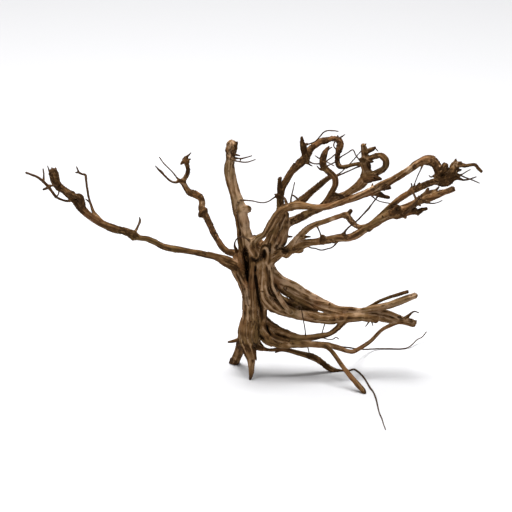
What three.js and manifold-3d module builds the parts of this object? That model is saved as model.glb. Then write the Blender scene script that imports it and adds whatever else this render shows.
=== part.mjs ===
// A branched piece of driftwood: one root stock that grew in one piece, with a fluted trunk, arms and
// stems above it, and roots below it that stand on the ground. Millimetres, +Z up, the origin on the
// ground in the middle of the wood's footprint, and the front facing -Y.
import * as THREE from "three";
import { mergeVertices } from "three/addons/utils/BufferGeometryUtils.js";
import Module from "manifold-3d";

// Driving dimensions
const SKETCH_TILT = 20; // degrees above the horizon from which the sketch of the routes is seen
const FOOTPRINT_MIDDLE = [-10, -20.5]; // the sketch's across and back at the middle of the footprint
const TRUNK_TOP = [-8, 150]; // the sketch's across and up where the limbs leave the trunk
const TRUNK_BACK = 15; // the depth of the trunk there
const SPREAD = 0.9; // how much further apart in depth the limbs above the trunk reach at their ends
const SPREAD_FROM = 20; // distance from the top of the trunk where they begin to spread
const SPREAD_TO = 160; // distance where they are fully spread
const GROUND_CUT = 20; // how deep the ground is cleared under the feet
const SCALE = 1; // the size of the whole wood against the sketch

// Each route is a limb's centre line. A point is [across, up, back, radius]: across and up as the
// sketch shows them, back the depth behind the front foot, and the radius of the wood there.
// A route starts inside the limb that it grows from.
const TRUNK = {
  heartwood: [[-8, 178, 20, 10], [-8, 160, 20, 14], [-8, 135, 20, 15], [-9, 110, 20, 13.5],
    [-10, 85, 21, 13.5], [-11, 66, 22, 14], [-12, 52, 24, 9]],
  front_leg: [[-33, 160, 15, 5], [-30, 142, 11, 6.5], [-24, 122, 9, 6.5], [-19.5, 100, 8, 6.5],
    [-19, 82, 8, 7.5], [-22, 64, 8, 9.5], [-21, 50, 7, 8.8], [-17, 38, 5, 7], [-14.5, 27, 3, 5],
    [-14, 17, 1.5, 4.1], [-14, 8, 0.5, 3.3], [-15.5, -3, -1, 2.2]],
  front_rib: [[-17, 174, 10, 4.5], [-15, 155, 7, 6], [-14.5, 135, 6, 6.3], [-13.5, 115, 5.5, 6.3],
    [-12, 95, 6, 6.4], [-11, 75, 6, 7], [-9.5, 60, 7, 7.2], [-8, 49, 9, 4.6]],
  crossing_strand: [[6, 160, 14, 6], [9, 142, 9, 4.6], [11.5, 127, 6, 3.8], [16, 115.5, 5, 3.6],
    [22, 106, 6, 3.7], [28.5, 97, 9, 3.6], [35.5, 89.5, 13, 3.2], [43, 85, 17, 2.5]],
  back_left_leg: [[-24, 172, 30, 7], [-22, 152, 33, 9], [-18, 126, 33, 9.2], [-14.5, 100, 33, 9.2],
    [-17, 80, 34, 9.3], [-23, 63, 38, 8], [-29.5, 47, 46, 7], [-35, 33, 55, 6.3], [-39, 22.5, 61, 5.4],
    [-41, 13, 65, 4.2]],
  back_rib: [[4, 174, 30, 7], [1, 152, 34, 9.5], [-2, 126, 37, 10], [-4, 100, 37, 10], [-5, 80, 35, 9.5],
    [-6, 62, 31, 7.5]],
};

const ROOTS = {
  lower_right_arm: [[-1, 162, 9, 5.5], [0, 142, 7, 7.2], [0.5, 124, 7, 7.8], [3, 109, 9, 8.8],
    [12, 98.5, 13, 8.8], [26, 91.5, 18, 7.5], [42, 86.7, 21, 7], [60, 82.6, 23, 7.5], [78, 80.2, 24, 7.2],
    [96, 79.8, 25, 6.9], [115, 81, 26, 6.6], [135, 81.5, 27, 6], [155, 80.5, 28, 5], [172, 77.5, 30, 4],
    [186, 74.5, 31, 3.6], [197, 72, 32, 3.6]],
  upper_right_arm: [[0, 168, 24, 9], [4, 152, 23, 9], [11.5, 140, 24, 8.4], [22, 129.5, 26, 7.4],
    [34, 123.5, 28, 6.8], [46, 116.5, 30, 6.5], [58, 109.8, 31, 6.2], [70, 104, 32, 5.7],
    [84, 97.8, 33, 5.4], [98, 93.2, 33, 4.7], [114, 91.2, 33, 4.5], [130, 89.4, 33, 4], [148, 88, 33, 4.2],
    [164, 85.5, 34, 4.6], [177, 80.5, 34, 4.4], [188, 76.5, 34, 4.4], [199, 73.5, 34, 4.2]],
  shaded_strand: [[10, 116, 32, 6], [26, 104.5, 38, 4.4], [42, 99.5, 39, 3.9], [56, 95, 36, 3.5],
    [72, 89, 30, 3]],
  arm_fork: [[126, 89, 31, 3.6], [142, 92.3, 28, 4.2], [155, 95, 27, 4.8], [166, 97.6, 26, 5.1],
    [178, 101.5, 25, 4.7], [190, 106, 24.3, 4.6], [201, 110, 23.5, 4.5]],
  arm_fork_twig: [[132, 90, 33, 2.4], [143, 96.5, 34, 2.2], [152, 101.8, 34.5, 2.2], [162, 106, 35, 2.2],
    [174, 110, 35.5, 2.1], [184, 113, 36, 2.1], [191, 115, 36, 2.2]],
  bow_root: [[-8, 88, 22, 7], [2, 77, 20, 7], [12, 69.5, 17, 6.6], [24, 62.8, 14, 6.1],
    [38, 57.6, 12, 5.4], [52, 54.6, 11, 4.7], [64, 54.8, 11, 4.3], [76, 56.5, 13, 3.9],
    [87, 59.5, 16, 3.5], [96, 65.5, 19, 3.6], [103, 72.5, 22, 3.9], [110, 80, 25, 4.4]],
  long_root: [[-6, 74, 14, 6.5], [2, 64, 11, 6], [10, 56.5, 8, 6], [20, 50.8, 6, 5.9], [32, 46.5, 5, 5.6],
    [46, 45.8, 4, 4.8], [60, 46.4, 4, 4.1], [74, 46, 4, 3.9], [88, 44.4, 5, 3.6], [101, 40.8, 6, 3.4],
    [112, 37, 7, 3.2], [119, 36.7, 8, 3], [126, 40.2, 10, 2.8], [134, 45.3, 13, 2.7], [142, 51, 16, 2.6],
    [148, 57, 18, 2.6], [154, 63.5, 20, 2.6], [162, 68.5, 23, 2.5], [171, 72, 26, 2.5],
    [181, 76, 30, 2.4]],
  prop_root: [[72, 45.8, 4, 3.4], [83, 43.2, 1.5, 3.3], [90, 38, -4, 3.1], [97, 28.5, -13, 3],
    [105, 17.5, -22, 3.2], [113, 7.5, -31, 3.4], [120, -1, -39, 3.4], [127, -9, -45.5, 3.5],
    [132, -15, -50, 3.2], [134, -20, -54, 2]],
  rear_root: [[-10, 60, 28, 7], [-7, 47, 27, 4.5], [0, 40.2, 26, 2.7], [8, 39.3, 26, 2.3],
    [18, 39.8, 26, 2.8], [30, 39, 26, 3.2], [45, 35.5, 27, 3.6], [57, 32.3, 28, 3.9], [68, 28, 29, 4.4],
    [78, 22.5, 29.5, 4.4], [87, 15.8, 30, 3.9], [94, 12, 30.5, 3.2], [101.5, 9.3, 31, 2]],
  leg_stub: [[-24, 57, 29, 4.4], [-31, 52, 33, 3], [-38, 49.8, 36, 2.3], [-43.5, 49, 38, 1.6]],
};

const LEFT_ARMS = {
  long_left_arm: [[-20, 134, 17, 8], [-30, 144, 13, 7.6], [-39, 149.5, 9, 7.2], [-49, 154.7, 5, 5.9],
    [-60, 159.6, 1, 4.6], [-78, 164.3, -3, 3.8], [-97, 167.7, -6, 3.9], [-113, 169.8, -8, 4.1],
    [-128, 173, -10, 3.7], [-140, 179.6, -12, 3.6], [-150, 183.6, -14, 3.6], [-160, 185.2, -15, 3.9],
    [-168, 189.3, -16, 5], [-178, 193.3, -17, 4.5], [-190, 196.3, -18, 4.5], [-203, 201.7, -19, 4.5],
    [-215, 208, -20, 4.8], [-226, 215.8, -21, 5], [-235, 224.5, -22, 6.1], [-240, 233, -22, 6.8],
    [-248, 239.5, -21, 5.8], [-256, 246, -20, 5], [-264, 252, -19, 5.4], [-269, 260, -18, 6.2],
    [-270.5, 267, -17, 5.8], [-271, 271.5, -17, 4.8]],
  low_twig: [[-238, 233.5, -21, 3.4], [-246, 233.3, -21, 2.3], [-253, 232.2, -22, 1.6],
    [-260, 234.3, -24, 1.7], [-266.5, 237.8, -26, 1.8], [-272, 244.5, -28, 1.8], [-277, 251, -30, 2.2],
    [-283, 257.5, -32, 1.9], [-290, 262.8, -34, 1.7], [-298, 266.3, -36, 1.5], [-305, 268.8, -38, 1.5]],
  low_twig_spur: [[-283, 257, -32, 1.7], [-282.5, 266, -31, 1.1], [-283.3, 274, -30, 0.9]],
  rising_twig: [[-205, 203, -18, 3], [-213, 211.3, -18, 2.9], [-218.5, 218, -17, 2.4],
    [-221.5, 226, -15, 1.8], [-224.5, 236, -13, 1.5], [-226.5, 248, -11, 1.4], [-227.8, 258, -9, 1.5],
    [-229, 266.5, -8, 1.8], [-233, 267.3, -9, 1.5], [-237.5, 269.8, -10, 1.4], [-238.8, 273, -10, 1.1],
    [-240.3, 277, -10, 0.8]],
  thorn: [[-167, 188, -16, 3], [-163.5, 194, -13, 1.7], [-160.5, 200.5, -12, 1.4],
    [-158.2, 206.5, -11, 1.6], [-158.8, 211.5, -11, 0.7]],
  back_left_arm: [[-16, 146, 24, 8], [-25, 158, 25, 6.4], [-35, 164.5, 28, 5.3], [-45, 167, 32, 4.9],
    [-52, 173, 36, 4.9], [-57, 181, 39, 4.8], [-62, 190, 42, 4.7], [-66.7, 200, 45, 4.5],
    [-71.5, 210, 48, 4.5], [-76, 217.5, 51, 5.2], [-78.5, 223.5, 52, 4.3], [-77.7, 230, 53, 4],
    [-79.7, 236.7, 54, 4.4], [-87, 240.8, 55, 4.2], [-94, 244, 56, 4.1], [-98.7, 250, 57, 3.6],
    [-102.3, 256, 58, 3.6], [-104.5, 261, 58, 3.2]],
  hook: [[-104, 257, 58, 3.2], [-100, 263, 58, 3.1], [-96.8, 269.5, 58, 3.3], [-96.5, 276, 58, 3.2],
    [-98.5, 282, 58, 3.5], [-100.5, 286, 58, 3.7], [-98.5, 289.5, 58, 2.6], [-96, 292, 58, 1.4],
    [-92.5, 295.7, 58, 0.6]],
  fork_low_twig: [[-102, 258, 57, 3.4], [-108, 259, 56, 2.9], [-112, 257, 55, 1.8], [-117, 257.6, 54, 1.6],
    [-122, 261, 53, 1.6], [-127, 266, 52, 1.6], [-131.5, 271, 51, 1.9], [-135, 274, 50, 1.4],
    [-138.8, 278.5, 49, 0.6]],
  fork_high_twig: [[-107, 259.5, 56, 2], [-111, 263.5, 57, 1.2], [-116, 270, 59, 0.9],
    [-122.5, 276.5, 61, 0.85], [-128.5, 282.5, 63, 0.8], [-133.7, 290, 65, 0.6]],
  loop_twig: [[-32, 166, 25, 2.6], [-35.5, 174, 20, 1.5], [-35.2, 179, 16, 1], [-32, 184, 12, 0.9],
    [-27, 186, 8, 0.9], [-21, 184.3, 4, 0.9], [-14, 179.5, 4, 1.3]],
};

const UPRIGHT = {
  upright: [[-10, 148, 12, 8], [-14, 167, 11, 7.6], [-18, 182, 12, 6.4], [-22, 197, 14, 6],
    [-25.5, 212, 16, 6.2], [-29.5, 228, 18, 6.6], [-33.5, 244, 20, 6], [-38, 259, 22, 5.7],
    [-41, 272, 23, 5.9], [-41, 284, 24, 5.6], [-40.5, 294, 25, 6], [-39.7, 303, 26, 6.4],
    [-39, 310.5, 26, 6.2]],
  upright_side: [[-26, 162, 16, 5], [-29, 178, 15, 3.2], [-30.5, 195, 16, 2.7], [-32, 210, 17, 2.8],
    [-35, 226, 19, 3.4], [-38.5, 241, 20, 3.5], [-43, 257, 22, 3.7], [-45.5, 270, 24, 4],
    [-46, 278, 24, 3.6], [-43.5, 286, 25, 3]],
  upright_prong: [[-37, 296, 24, 3.6], [-34, 305, 24, 2.7], [-32.3, 312, 24, 1.6]],
  cut_stub: [[-28, 221, 16, 6], [-21, 223.5, 14, 5.2], [-15, 223, 12, 4.4]],
  upper_twig: [[-38, 289, 24, 2], [-31, 287.8, 20, 1.1], [-27, 287.5, 18, 1.2], [-20, 289.3, 16, 0.9],
    [-13, 291.3, 14, 0.7]],
  lower_twig: [[-38, 286, 22, 1.8], [-32, 284.3, 18, 1], [-26, 283, 15, 0.9], [-19, 283, 12, 0.8],
    [-13, 284.8, 9, 0.75], [-8.5, 286.5, 7, 0.6]],
  bridge_twig: [[-29, 234, 15, 1.6], [-22, 233.5, 11, 1.1], [-13, 233, 8, 0.95], [-5, 231, 5, 0.9],
    [3, 230.5, 4, 0.9], [9, 232.5, 4, 0.9], [14, 236, 6, 1], [21, 240, 8, 1.5]],
};

const CROWN = {
  long_right_arm: [[-8, 166, 9, 7], [-10, 177, 6, 5.5], [-6, 184, 4, 4.2], [2, 188.3, 1, 4.1],
    [8, 195.5, -1, 4.5], [14, 204.5, -3, 4.8], [20.5, 214, -5, 5], [28, 221.5, -7, 5.3],
    [38, 225.3, -8, 5.2], [49, 227, -9, 4.9], [59, 225.7, -10, 4.3], [69, 224.2, -11, 4.1],
    [81, 224.8, -12, 4.2], [94, 227.8, -13, 4.5], [107, 232, -14, 4.6], [120, 236.3, -16, 4.5],
    [131, 240.2, -18, 4.4], [141, 244.5, -20, 4.8], [150, 249.5, -22, 5.4], [160, 254.8, -24, 5],
    [170, 260.3, -26, 4.6], [181, 267, -28, 4.4], [192, 274, -30, 4.5], [202, 281, -32, 5],
    [210, 285, -34, 5.8], [217, 285, -36, 6.4], [223.5, 281.5, -38, 6.2], [227, 274.5, -40, 5.8],
    [229.5, 267, -41, 6.2], [234, 260, -41, 6.5]],
  stem_front: [[-2, 156, 12, 9], [5, 171, 10, 7.8], [12, 185, 7, 6.4], [18, 197.5, 4, 5.2],
    [23, 207.5, 1, 4.3], [28, 216, -3, 4]],
  stem_back: [[6, 150, 22, 9], [14.5, 168, 19, 10], [23.5, 183, 16, 9], [27.5, 196, 13, 7.6],
    [30, 207, 10, 6], [31, 217, 4, 4.6]],
  middle_limb: [[25, 194, 14, 7], [34, 203.5, 12, 6.6], [45, 208.3, 11, 5.8], [56, 214, 10, 5.6],
    [66, 219, 9, 5], [77, 224, 8, 4.8], [88, 231, 8, 5.8], [98, 236.5, 8, 5.2], [108, 241, 8, 4.5],
    [117, 246.5, 8, 5], [126, 253.5, 8, 5.7], [133, 262, 8, 6.2], [135.5, 271, 8, 6.1],
    [134.5, 281, 8, 5.7], [133.7, 291, 8, 4.8], [132.5, 299, 8, 4.2], [131.5, 305.5, 8, 3.8]],
  limb_knot: [[137, 261, 5, 5.4], [146, 262.5, 0, 4.2], [154, 261, -2, 1.7]],
  curl: [[134, 265, 8, 5.8], [143, 267, 6, 5], [150, 269.3, 4, 4.5], [157, 273.5, 2, 4.5],
    [161.3, 279.5, 0, 4.5], [161, 286.5, 0, 4.3], [156.5, 290.8, 1, 3.9], [150.5, 291.6, 3, 3],
    [145, 290, 5, 2.7], [137, 287.5, 8, 3.6]],
  curl_stub: [[134, 295.5, 8, 3.6], [141.5, 299, 7, 2.9], [147.5, 302, 6, 2]],
  arching_branch: [[22, 210, 3, 5], [23.3, 222, 5, 4.6], [23.7, 233, 7, 4.6], [25, 243, 9, 4.2],
    [27.5, 252, 11, 4.1], [32, 260, 13, 4.3], [37, 268, 15, 4.6], [43, 275.5, 17, 4.9],
    [50, 281.5, 19, 5.3], [56, 288.5, 21, 5.5], [61, 296.5, 23, 5.2], [67, 303.5, 25, 4.8],
    [75, 308.8, 26, 4.3], [83, 311.3, 26, 3.8], [90, 312.8, 25, 2.7], [96, 313.5, 23, 2.6],
    [100.5, 311.5, 22, 3.2], [102.3, 306, 21, 3.4], [100, 300, 20, 3.3], [98, 292, 19, 3.1],
    [97.3, 284, 18, 3.2], [99.5, 278.3, 17, 3.2], [105, 276.8, 15, 2.8], [113, 278.4, 13, 2.4],
    [122, 280.3, 11, 2.4], [131, 281.5, 9, 2.8]],
  arch_spike: [[24, 240, 8, 3.8], [22.5, 251, 8, 2.5], [22.8, 258, 8, 2.1], [23.5, 263.3, 8, 1.7]],
  arch_fork: [[58, 288, 21, 4], [54.5, 297, 20, 3.1], [53.2, 304, 19, 3.1], [51.8, 310, 18, 1.9],
    [52, 316.3, 18, 1.1]],
  arch_whip: [[55, 304.5, 18, 1.6], [62, 307, 17, 0.95], [69, 310, 16, 0.95], [75, 316, 15, 0.9],
    [80, 321.5, 14, 0.9], [84, 323.7, 13, 0.9], [91, 324, 12, 1], [99, 322.8, 11, 0.7]],
  arch_low_twig: [[57, 287, 21, 2.4], [62.5, 283, 18, 1.1], [68, 281, 15, 0.95], [78, 281.5, 4, 1.1]],
  slim_upright: [[38, 224, -7, 2], [37.5, 233, -5, 1.1], [38.5, 240, -4, 0.95], [40.5, 248, -3, 0.9],
    [42.3, 256.8, -2, 0.7]],
  slim_strut: [[38.4, 240.8, -4, 1], [42.5, 238.5, -5, 1.3], [46.5, 234.5, -6, 1.6], [50, 228.5, -8, 2.2]],
  straight_branch: [[38, 224, -6, 4.5], [49, 231, -2, 4.1], [58, 238.8, 0, 4.1], [67, 247, 3, 4.3],
    [76, 254.5, 6, 4], [84, 260.8, 9, 3.3], [91, 264.5, 11, 2.8], [97, 265.5, 12, 1.8],
    [103, 267.5, 12, 1.1], [112, 271.3, 11.5, 1], [121, 275.3, 11, 1], [132, 279.5, 9, 1.3]],
  straight_whip: [[94, 264.5, 12, 1.4], [102, 269.5, 13, 0.8], [108, 275, 17, 0.75], [115, 282, 19, 0.75],
    [121, 288.5, 17, 0.75], [126, 294.5, 14, 0.75], [132, 301, 9, 1]],
  zigzag_branch: [[72, 221, 4, 4.4], [80, 228.5, 0, 4.5], [86, 236.5, -2, 4], [91.5, 246, -3, 3.8],
    [95, 254.5, -3, 3.9], [94.5, 262, -3, 4.2], [89.5, 268, -2, 3.9], [84, 272.8, -1, 3.5],
    [79.8, 278, 0, 3.4], [78.5, 285, 1, 3.6], [79.8, 291.5, 2, 3.7], [82.8, 297.5, 3, 2.8],
    [86.8, 303.3, 4, 1.1]],
  zigzag_knot: [[90, 242, -3, 4], [95.5, 240.3, -2, 3.2], [103, 238.5, 3, 3.2]],
  peak_twig: [[98, 286.5, 18, 1.8], [103.5, 290.5, 17, 0.9], [111, 295, 15, 0.85], [118, 299, 13, 0.9],
    [121, 293.5, 11, 0.85], [124, 288.5, 9, 0.9], [130, 282.5, 8, 1.6]],
  low_fork: [[0, 144, 15, 9], [9, 155.5, 11, 8], [20, 162.5, 7, 7], [31, 167.3, 3, 6.6],
    [41, 171.5, 0, 6.8], [50, 175, -2, 6.4], [60, 178, -5, 4.9], [70, 179.5, -8, 4.7],
    [79, 181.3, -10, 5.2], [90, 183, -13, 4.4], [101, 185, -16, 4.5], [111, 185.3, -19, 4.7],
    [120, 187.5, -22, 4.6], [130, 193.5, -24, 4.4], [140, 199.8, -26, 4.8], [151, 206.5, -28, 5.4],
    [162, 212.5, -31, 5.6], [173, 217.5, -34, 6.2], [184, 222.5, -37, 5.6], [195, 228, -40, 4.9],
    [206, 232.8, -43, 4.9], [217, 236.8, -46, 5.2], [227, 240.6, -48, 4.2], [237, 244.3, -50, 3.6],
    [248, 248.3, -52, 3.5]],
  light_branch: [[31, 164, 3, 6], [40, 175, 0, 5.6], [47, 184.5, -1, 4.7], [54, 192, -2, 4],
    [62, 198.2, -3, 3.7], [71, 202.7, -4, 3.5], [81, 206.2, -5, 3.3], [91, 209.7, -6, 3.2],
    [101, 213, -7, 3.3], [109, 214.8, -8, 3.6], [114.5, 212, -10, 3], [116.5, 206, -13, 2.8],
    [120.5, 201, -16, 2.8], [127, 199, -19, 2.5], [135, 200.8, -22, 2.6], [143, 204, -25, 3],
    [152, 208.5, -29, 3.5]],
  under_branch: [[138, 197, -26, 4.5], [149, 207, -27, 4.5], [158, 216, -28, 4.3], [167, 225.5, -29, 4.1],
    [177, 233.8, -30, 4], [188, 241, -32, 4.1], [199, 247.3, -34, 4.3], [210, 252.5, -36, 4.3],
    [221, 256.8, -38, 4.6], [233, 259.5, -41, 5.2]],
  strut_twig: [[210, 284, -34, 2], [205.5, 273.5, -33, 0.85], [201, 264, -33, 0.8], [198, 256, -34, 0.85],
    [196, 248, -34, 1.6]],
  knuckle: [[229, 262, -41, 6.8], [237, 262.5, -41, 6.2], [242.5, 267, -41, 5.4], [246.5, 273.5, -41, 5.2],
    [250, 279, -41, 4.8], [256, 279.3, -41, 3.7], [263, 277.8, -41, 2.6], [270, 279, -41, 2.4],
    [275.5, 279, -41, 2.4], [280, 274, -41, 2.3], [285, 269.5, -41, 1.9]],
  knuckle_bump: [[230, 269, -41, 5], [235.5, 277, -42, 3.8], [237.5, 281.3, -42, 2.4]],
  knuckle_low_twig: [[234, 257.5, -41, 5.6], [244, 260.8, -42, 4.1], [251, 262.8, -43, 3.2],
    [255, 261.2, -43, 2], [260, 259.4, -43, 1.3], [268, 260.4, -43, 1.1], [277, 263.5, -43, 0.8]],
  knuckle_long_twig: [[248, 267, -42, 2.8], [257, 265.2, -42, 1.1], [264, 262.3, -41, 1],
    [273, 259, -40, 0.95], [281.3, 255.3, -39, 0.7]],
  knuckle_high_twig: [[250, 265, -42, 1.6], [259, 267, -44, 0.85], [264, 270.3, -45, 0.8],
    [269.3, 273, -46, 0.6]],
  tip_prong: [[194, 227, -40, 3.4], [204, 236, -41, 2.5], [211.5, 241.5, -43, 2.9],
    [214.7, 248, -43, 1.1]],
  tip_second_prong: [[208, 239, -43, 3], [218.5, 243.3, -45, 2.9], [224, 245.5, -46, 2],
    [228.5, 250.3, -46, 1.2]],
  tip_low_branch: [[174, 213, -34, 4.6], [187, 216.8, -38, 4], [196, 218.5, -40, 3.6],
    [202, 217.5, -41, 2.9], [207.5, 220.8, -41, 2], [214, 222.5, -41, 1.1]],
  tip_knot: [[170, 217, -35, 5.6], [175.5, 222, -38, 4.6], [175, 227, -38, 2.3]],
  tip_whip: [[211, 231, -45, 2], [219, 229.3, -46, 0.9], [226, 230, -47, 0.7], [233, 233, -48, 0.6]],
  arm_stub_high: [[150, 250.5, -22, 4.2], [159, 249.6, -23, 2.7], [166, 249.8, -24, 1.9]],
  arm_stub_low: [[142, 245.5, -20, 4.2], [150, 241.5, -19, 3], [157, 238.8, -18, 2],
    [165.5, 237, -18, 1.2]],
  under_whip: [[57, 178, -5, 2], [62.5, 172, -6, 1], [69, 171.2, -7, 0.9], [77, 168.8, -8, 0.9],
    [84, 170.2, -10, 0.9], [92, 173, -12, 0.9], [99.5, 182, -15, 1.6]],
  drop_twig: [[70, 203, -4, 1.6], [73, 196.5, -6, 0.9], [75.5, 190.5, -8, 0.9], [78, 183, -10, 1.8]],
  dark_whip: [[99, 184, -15, 3.4], [106.5, 191, -17, 2], [109.5, 195.5, -17, 1.2], [115, 200.5, -15, 1.05],
    [123, 206.8, -12, 1.05], [131, 215, -13, 1.1], [138, 222.5, -15, 1.5], [142.5, 228.5, -17, 1],
    [150, 238.5, -19, 1.3]],
};

const HAIR_ROOTS = {
  front_hair_root: [[88, 15.5, 30, 2.4], [98, 12.8, 31, 1.7], [107, 11.6, 31, 1.5], [114, 12, 32, 1.2],
    [119.5, 13.6, 36, 1.1], [125, 10.5, 27, 1.1], [131, 5.2, 12, 1.1], [136, -2, -9, 1.1],
    [140, -9, -30, 1.1], [145, -16, -50, 1.1], [148, -24, -73, 1.1], [150, -33, -99, 1],
    [152.5, -43, -128.5, 0.9], [155.5, -50, -149, 0.8], [157.5, -57, -169, 0.7], [160, -63.5, -188, 0.6]],
  side_hair_root: [[94, 43, 6, 2.4], [105, 42.3, 16, 1.2], [112, 42, 30, 1], [120, 40.5, 50, 1],
    [128, 39.6, 75, 1], [138, 39, 98, 1], [150, 39.8, 111, 0.95], [165, 40, 113.5, 0.95],
    [180, 39.6, 113, 0.9], [190, 41, 116, 0.85], [197, 45.5, 124, 0.8], [203, 51.5, 134, 0.75],
    [209.5, 55, 139, 0.7], [215.5, 62, 147, 0.6]],
};

// How finely the limbs are faceted
const SIDES_BY_RADIUS = [[7, 8], [4, 6], [1.6, 5], [0, 3]]; // from each radius up, the sides of a section
const RING_STEP = 3; // distance between sections, in radii
const SHORTEST_STEP = 7.5;
const LONGEST_STEP = 14;
const OVAL = 0.09; // how far a section is from round
const OVAL_TWIST = 0.02; // radians that the oval section turns in each millimetre of limb
const THIN = 2; // below this radius a limb ends in a point, above it in a broken hollow
const POINT_LENGTH = 0.6; // in radii
const HOLLOW_DEPTH = 0.35; // in radii

const tilt = THREE.MathUtils.degToRad(SKETCH_TILT);

// How far a point above the trunk is drawn away from the trunk in depth. The sketch looks the same.
function spreadBack([across, up, back]) {
  const distance = Math.hypot(across - TRUNK_TOP[0], up - TRUNK_TOP[1]);
  const share = THREE.MathUtils.smoothstep(distance, SPREAD_FROM, SPREAD_TO);
  return back + SPREAD * share * (back - TRUNK_BACK);
}

function spread(route) {
  return route.map((point) => [point[0], point[1], spreadBack(point), point[3]]);
}

// The place of a sketch point in the wood's own frame
function placed([across, up, back]) {
  const height = (up - back * Math.sin(tilt)) / Math.cos(tilt);
  const [middleAcross, middleBack] = FOOTPRINT_MIDDLE;
  return new THREE.Vector3(across - middleAcross, back - middleBack, height).multiplyScalar(SCALE);
}

// The radius at parameter t of a route, from 0 to 1
function radiusAt(route, t) {
  const position = t * (route.length - 1);
  const before = Math.min(Math.floor(position), route.length - 2);
  return SCALE * THREE.MathUtils.lerp(route[before][3], route[before + 1][3], position - before);
}

function sidesFor(radius) {
  return SIDES_BY_RADIUS.find(([from]) => radius >= from * SCALE)[1];
}

// How far out a many-sided section's corners lie, for the same area as the round one
function cornerReach(sides) {
  return Math.sqrt((2 * Math.PI) / (sides * Math.sin((2 * Math.PI) / sides)));
}

// One limb as a closed tube of oval sections along its route
function limbGeometry(route, turn) {
  const curve = new THREE.CatmullRomCurve3(route.map(placed), false, "centripetal");
  const length = curve.getLength();
  const meanRadius = (SCALE * route.reduce((sum, point) => sum + point[3], 0)) / route.length;
  const step = THREE.MathUtils.clamp(RING_STEP * meanRadius, SHORTEST_STEP, LONGEST_STEP);
  const rings = Math.max(2, Math.round(length / step));
  const sides = sidesFor(meanRadius);
  const frames = curve.computeFrenetFrames(rings, false);
  const positions = [];
  for (let ring = 0; ring <= rings; ring++) {
    const share = ring / rings;
    const centre = curve.getPointAt(share);
    const radius = cornerReach(sides) * radiusAt(route, curve.getUtoTmapping(share));
    for (let side = 0; side < sides; side++) {
      const angle = (2 * Math.PI * side) / sides;
      const oval = 1 + OVAL * Math.cos(2 * angle + turn + OVAL_TWIST * share * length);
      positions.push(
        ...centre
          .clone()
          .addScaledVector(frames.normals[ring], radius * oval * Math.cos(angle))
          .addScaledVector(frames.binormals[ring], radius * oval * Math.sin(angle)),
      );
    }
  }
  const tipRadius = radiusAt(route, 1);
  const tipReach = tipRadius < THIN * SCALE ? POINT_LENGTH : -HOLLOW_DEPTH;
  const root = curve.getPointAt(0);
  const tip = curve.getPointAt(1).addScaledVector(frames.tangents[rings], tipReach * tipRadius);
  positions.push(...root, ...tip);
  const geometry = new THREE.BufferGeometry();
  geometry.setAttribute("position", new THREE.Float32BufferAttribute(positions, 3));
  geometry.setIndex(tubeFaces(rings, sides));
  return geometry;
}

// The triangles of a tube of rings, with its two centre points last
function tubeFaces(rings, sides) {
  const faces = [];
  const root = (rings + 1) * sides;
  for (let side = 0; side < sides; side++) {
    const next = (side + 1) % sides;
    for (let ring = 0; ring < rings; ring++) {
      const [a, b] = [ring * sides + side, ring * sides + next];
      faces.push(a, b, b + sides, a, b + sides, a + sides);
    }
    faces.push(root, next, side);
    faces.push(root + 1, rings * sides + side, rings * sides + next);
  }
  return faces;
}

const wasm = await Module();
wasm.setup();

function solidOf(geometry) {
  const bare = new THREE.BufferGeometry();
  bare.setAttribute("position", geometry.getAttribute("position").clone());
  bare.setIndex(geometry.getIndex().clone());
  const merged = mergeVertices(bare);
  return new wasm.Manifold(
    new wasm.Mesh({
      numProp: 3,
      vertProperties: new Float32Array(merged.getAttribute("position").array),
      triVerts: new Uint32Array(merged.getIndex().array),
    }),
  );
}

// All limbs joined. The joining can seal a hollow between strands, which is filled by keeping the
// outer skin alone.
function joinedLimbs() {
  const below = [TRUNK, ROOTS, HAIR_ROOTS].flatMap((group) => Object.values(group));
  const above = [LEFT_ARMS, UPRIGHT, CROWN].flatMap((group) => Object.values(group));
  const routes = [...below, ...above.map(spread)];
  const joined = routes
    .map((route, index) => solidOf(limbGeometry(route, index)))
    .reduce((whole, limb) => whole.add(limb));
  return outerBody(joined);
}

function outerBody(solid) {
  return solid.decompose().reduce((largest, body) => (body.volume() > largest.volume() ? body : largest));
}

// The feet are cut level with the ground, so that each stands on a small flat spot
function levelledFeet(wood) {
  const { min, max } = wood.boundingBox();
  const [width, depth] = [max[0] - min[0] + GROUND_CUT, max[1] - min[1] + GROUND_CUT];
  const ground = new THREE.BoxGeometry(width, depth, GROUND_CUT);
  ground.translate((min[0] + max[0]) / 2, (min[1] + max[1]) / 2, -GROUND_CUT / 2);
  return outerBody(wood.subtract(solidOf(ground)));
}

function geometryOf(solid) {
  const { numProp, numVert, vertProperties, triVerts } = solid.getMesh();
  const positions = new Float32Array(numVert * 3);
  for (let vertex = 0; vertex < numVert; vertex++)
    positions.set(vertProperties.subarray(vertex * numProp, vertex * numProp + 3), vertex * 3);
  const geometry = new THREE.BufferGeometry();
  geometry.setAttribute("position", new THREE.BufferAttribute(positions, 3));
  geometry.setIndex(new THREE.BufferAttribute(triVerts, 1));
  geometry.computeVertexNormals();
  return geometry;
}

const weatheredWood = new THREE.MeshStandardMaterial({ color: 0x8a6544, roughness: 0.85, metalness: 0 });
const driftwood = new THREE.Mesh(geometryOf(levelledFeet(joinedLimbs())), weatheredWood);
driftwood.name = "driftwood";

const part = new THREE.Group();
part.add(driftwood);

export default part;
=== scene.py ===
"""A branched piece of driftwood on a white floor: its grown body, its twigs and its hair roots."""
import math
from itertools import product

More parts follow.
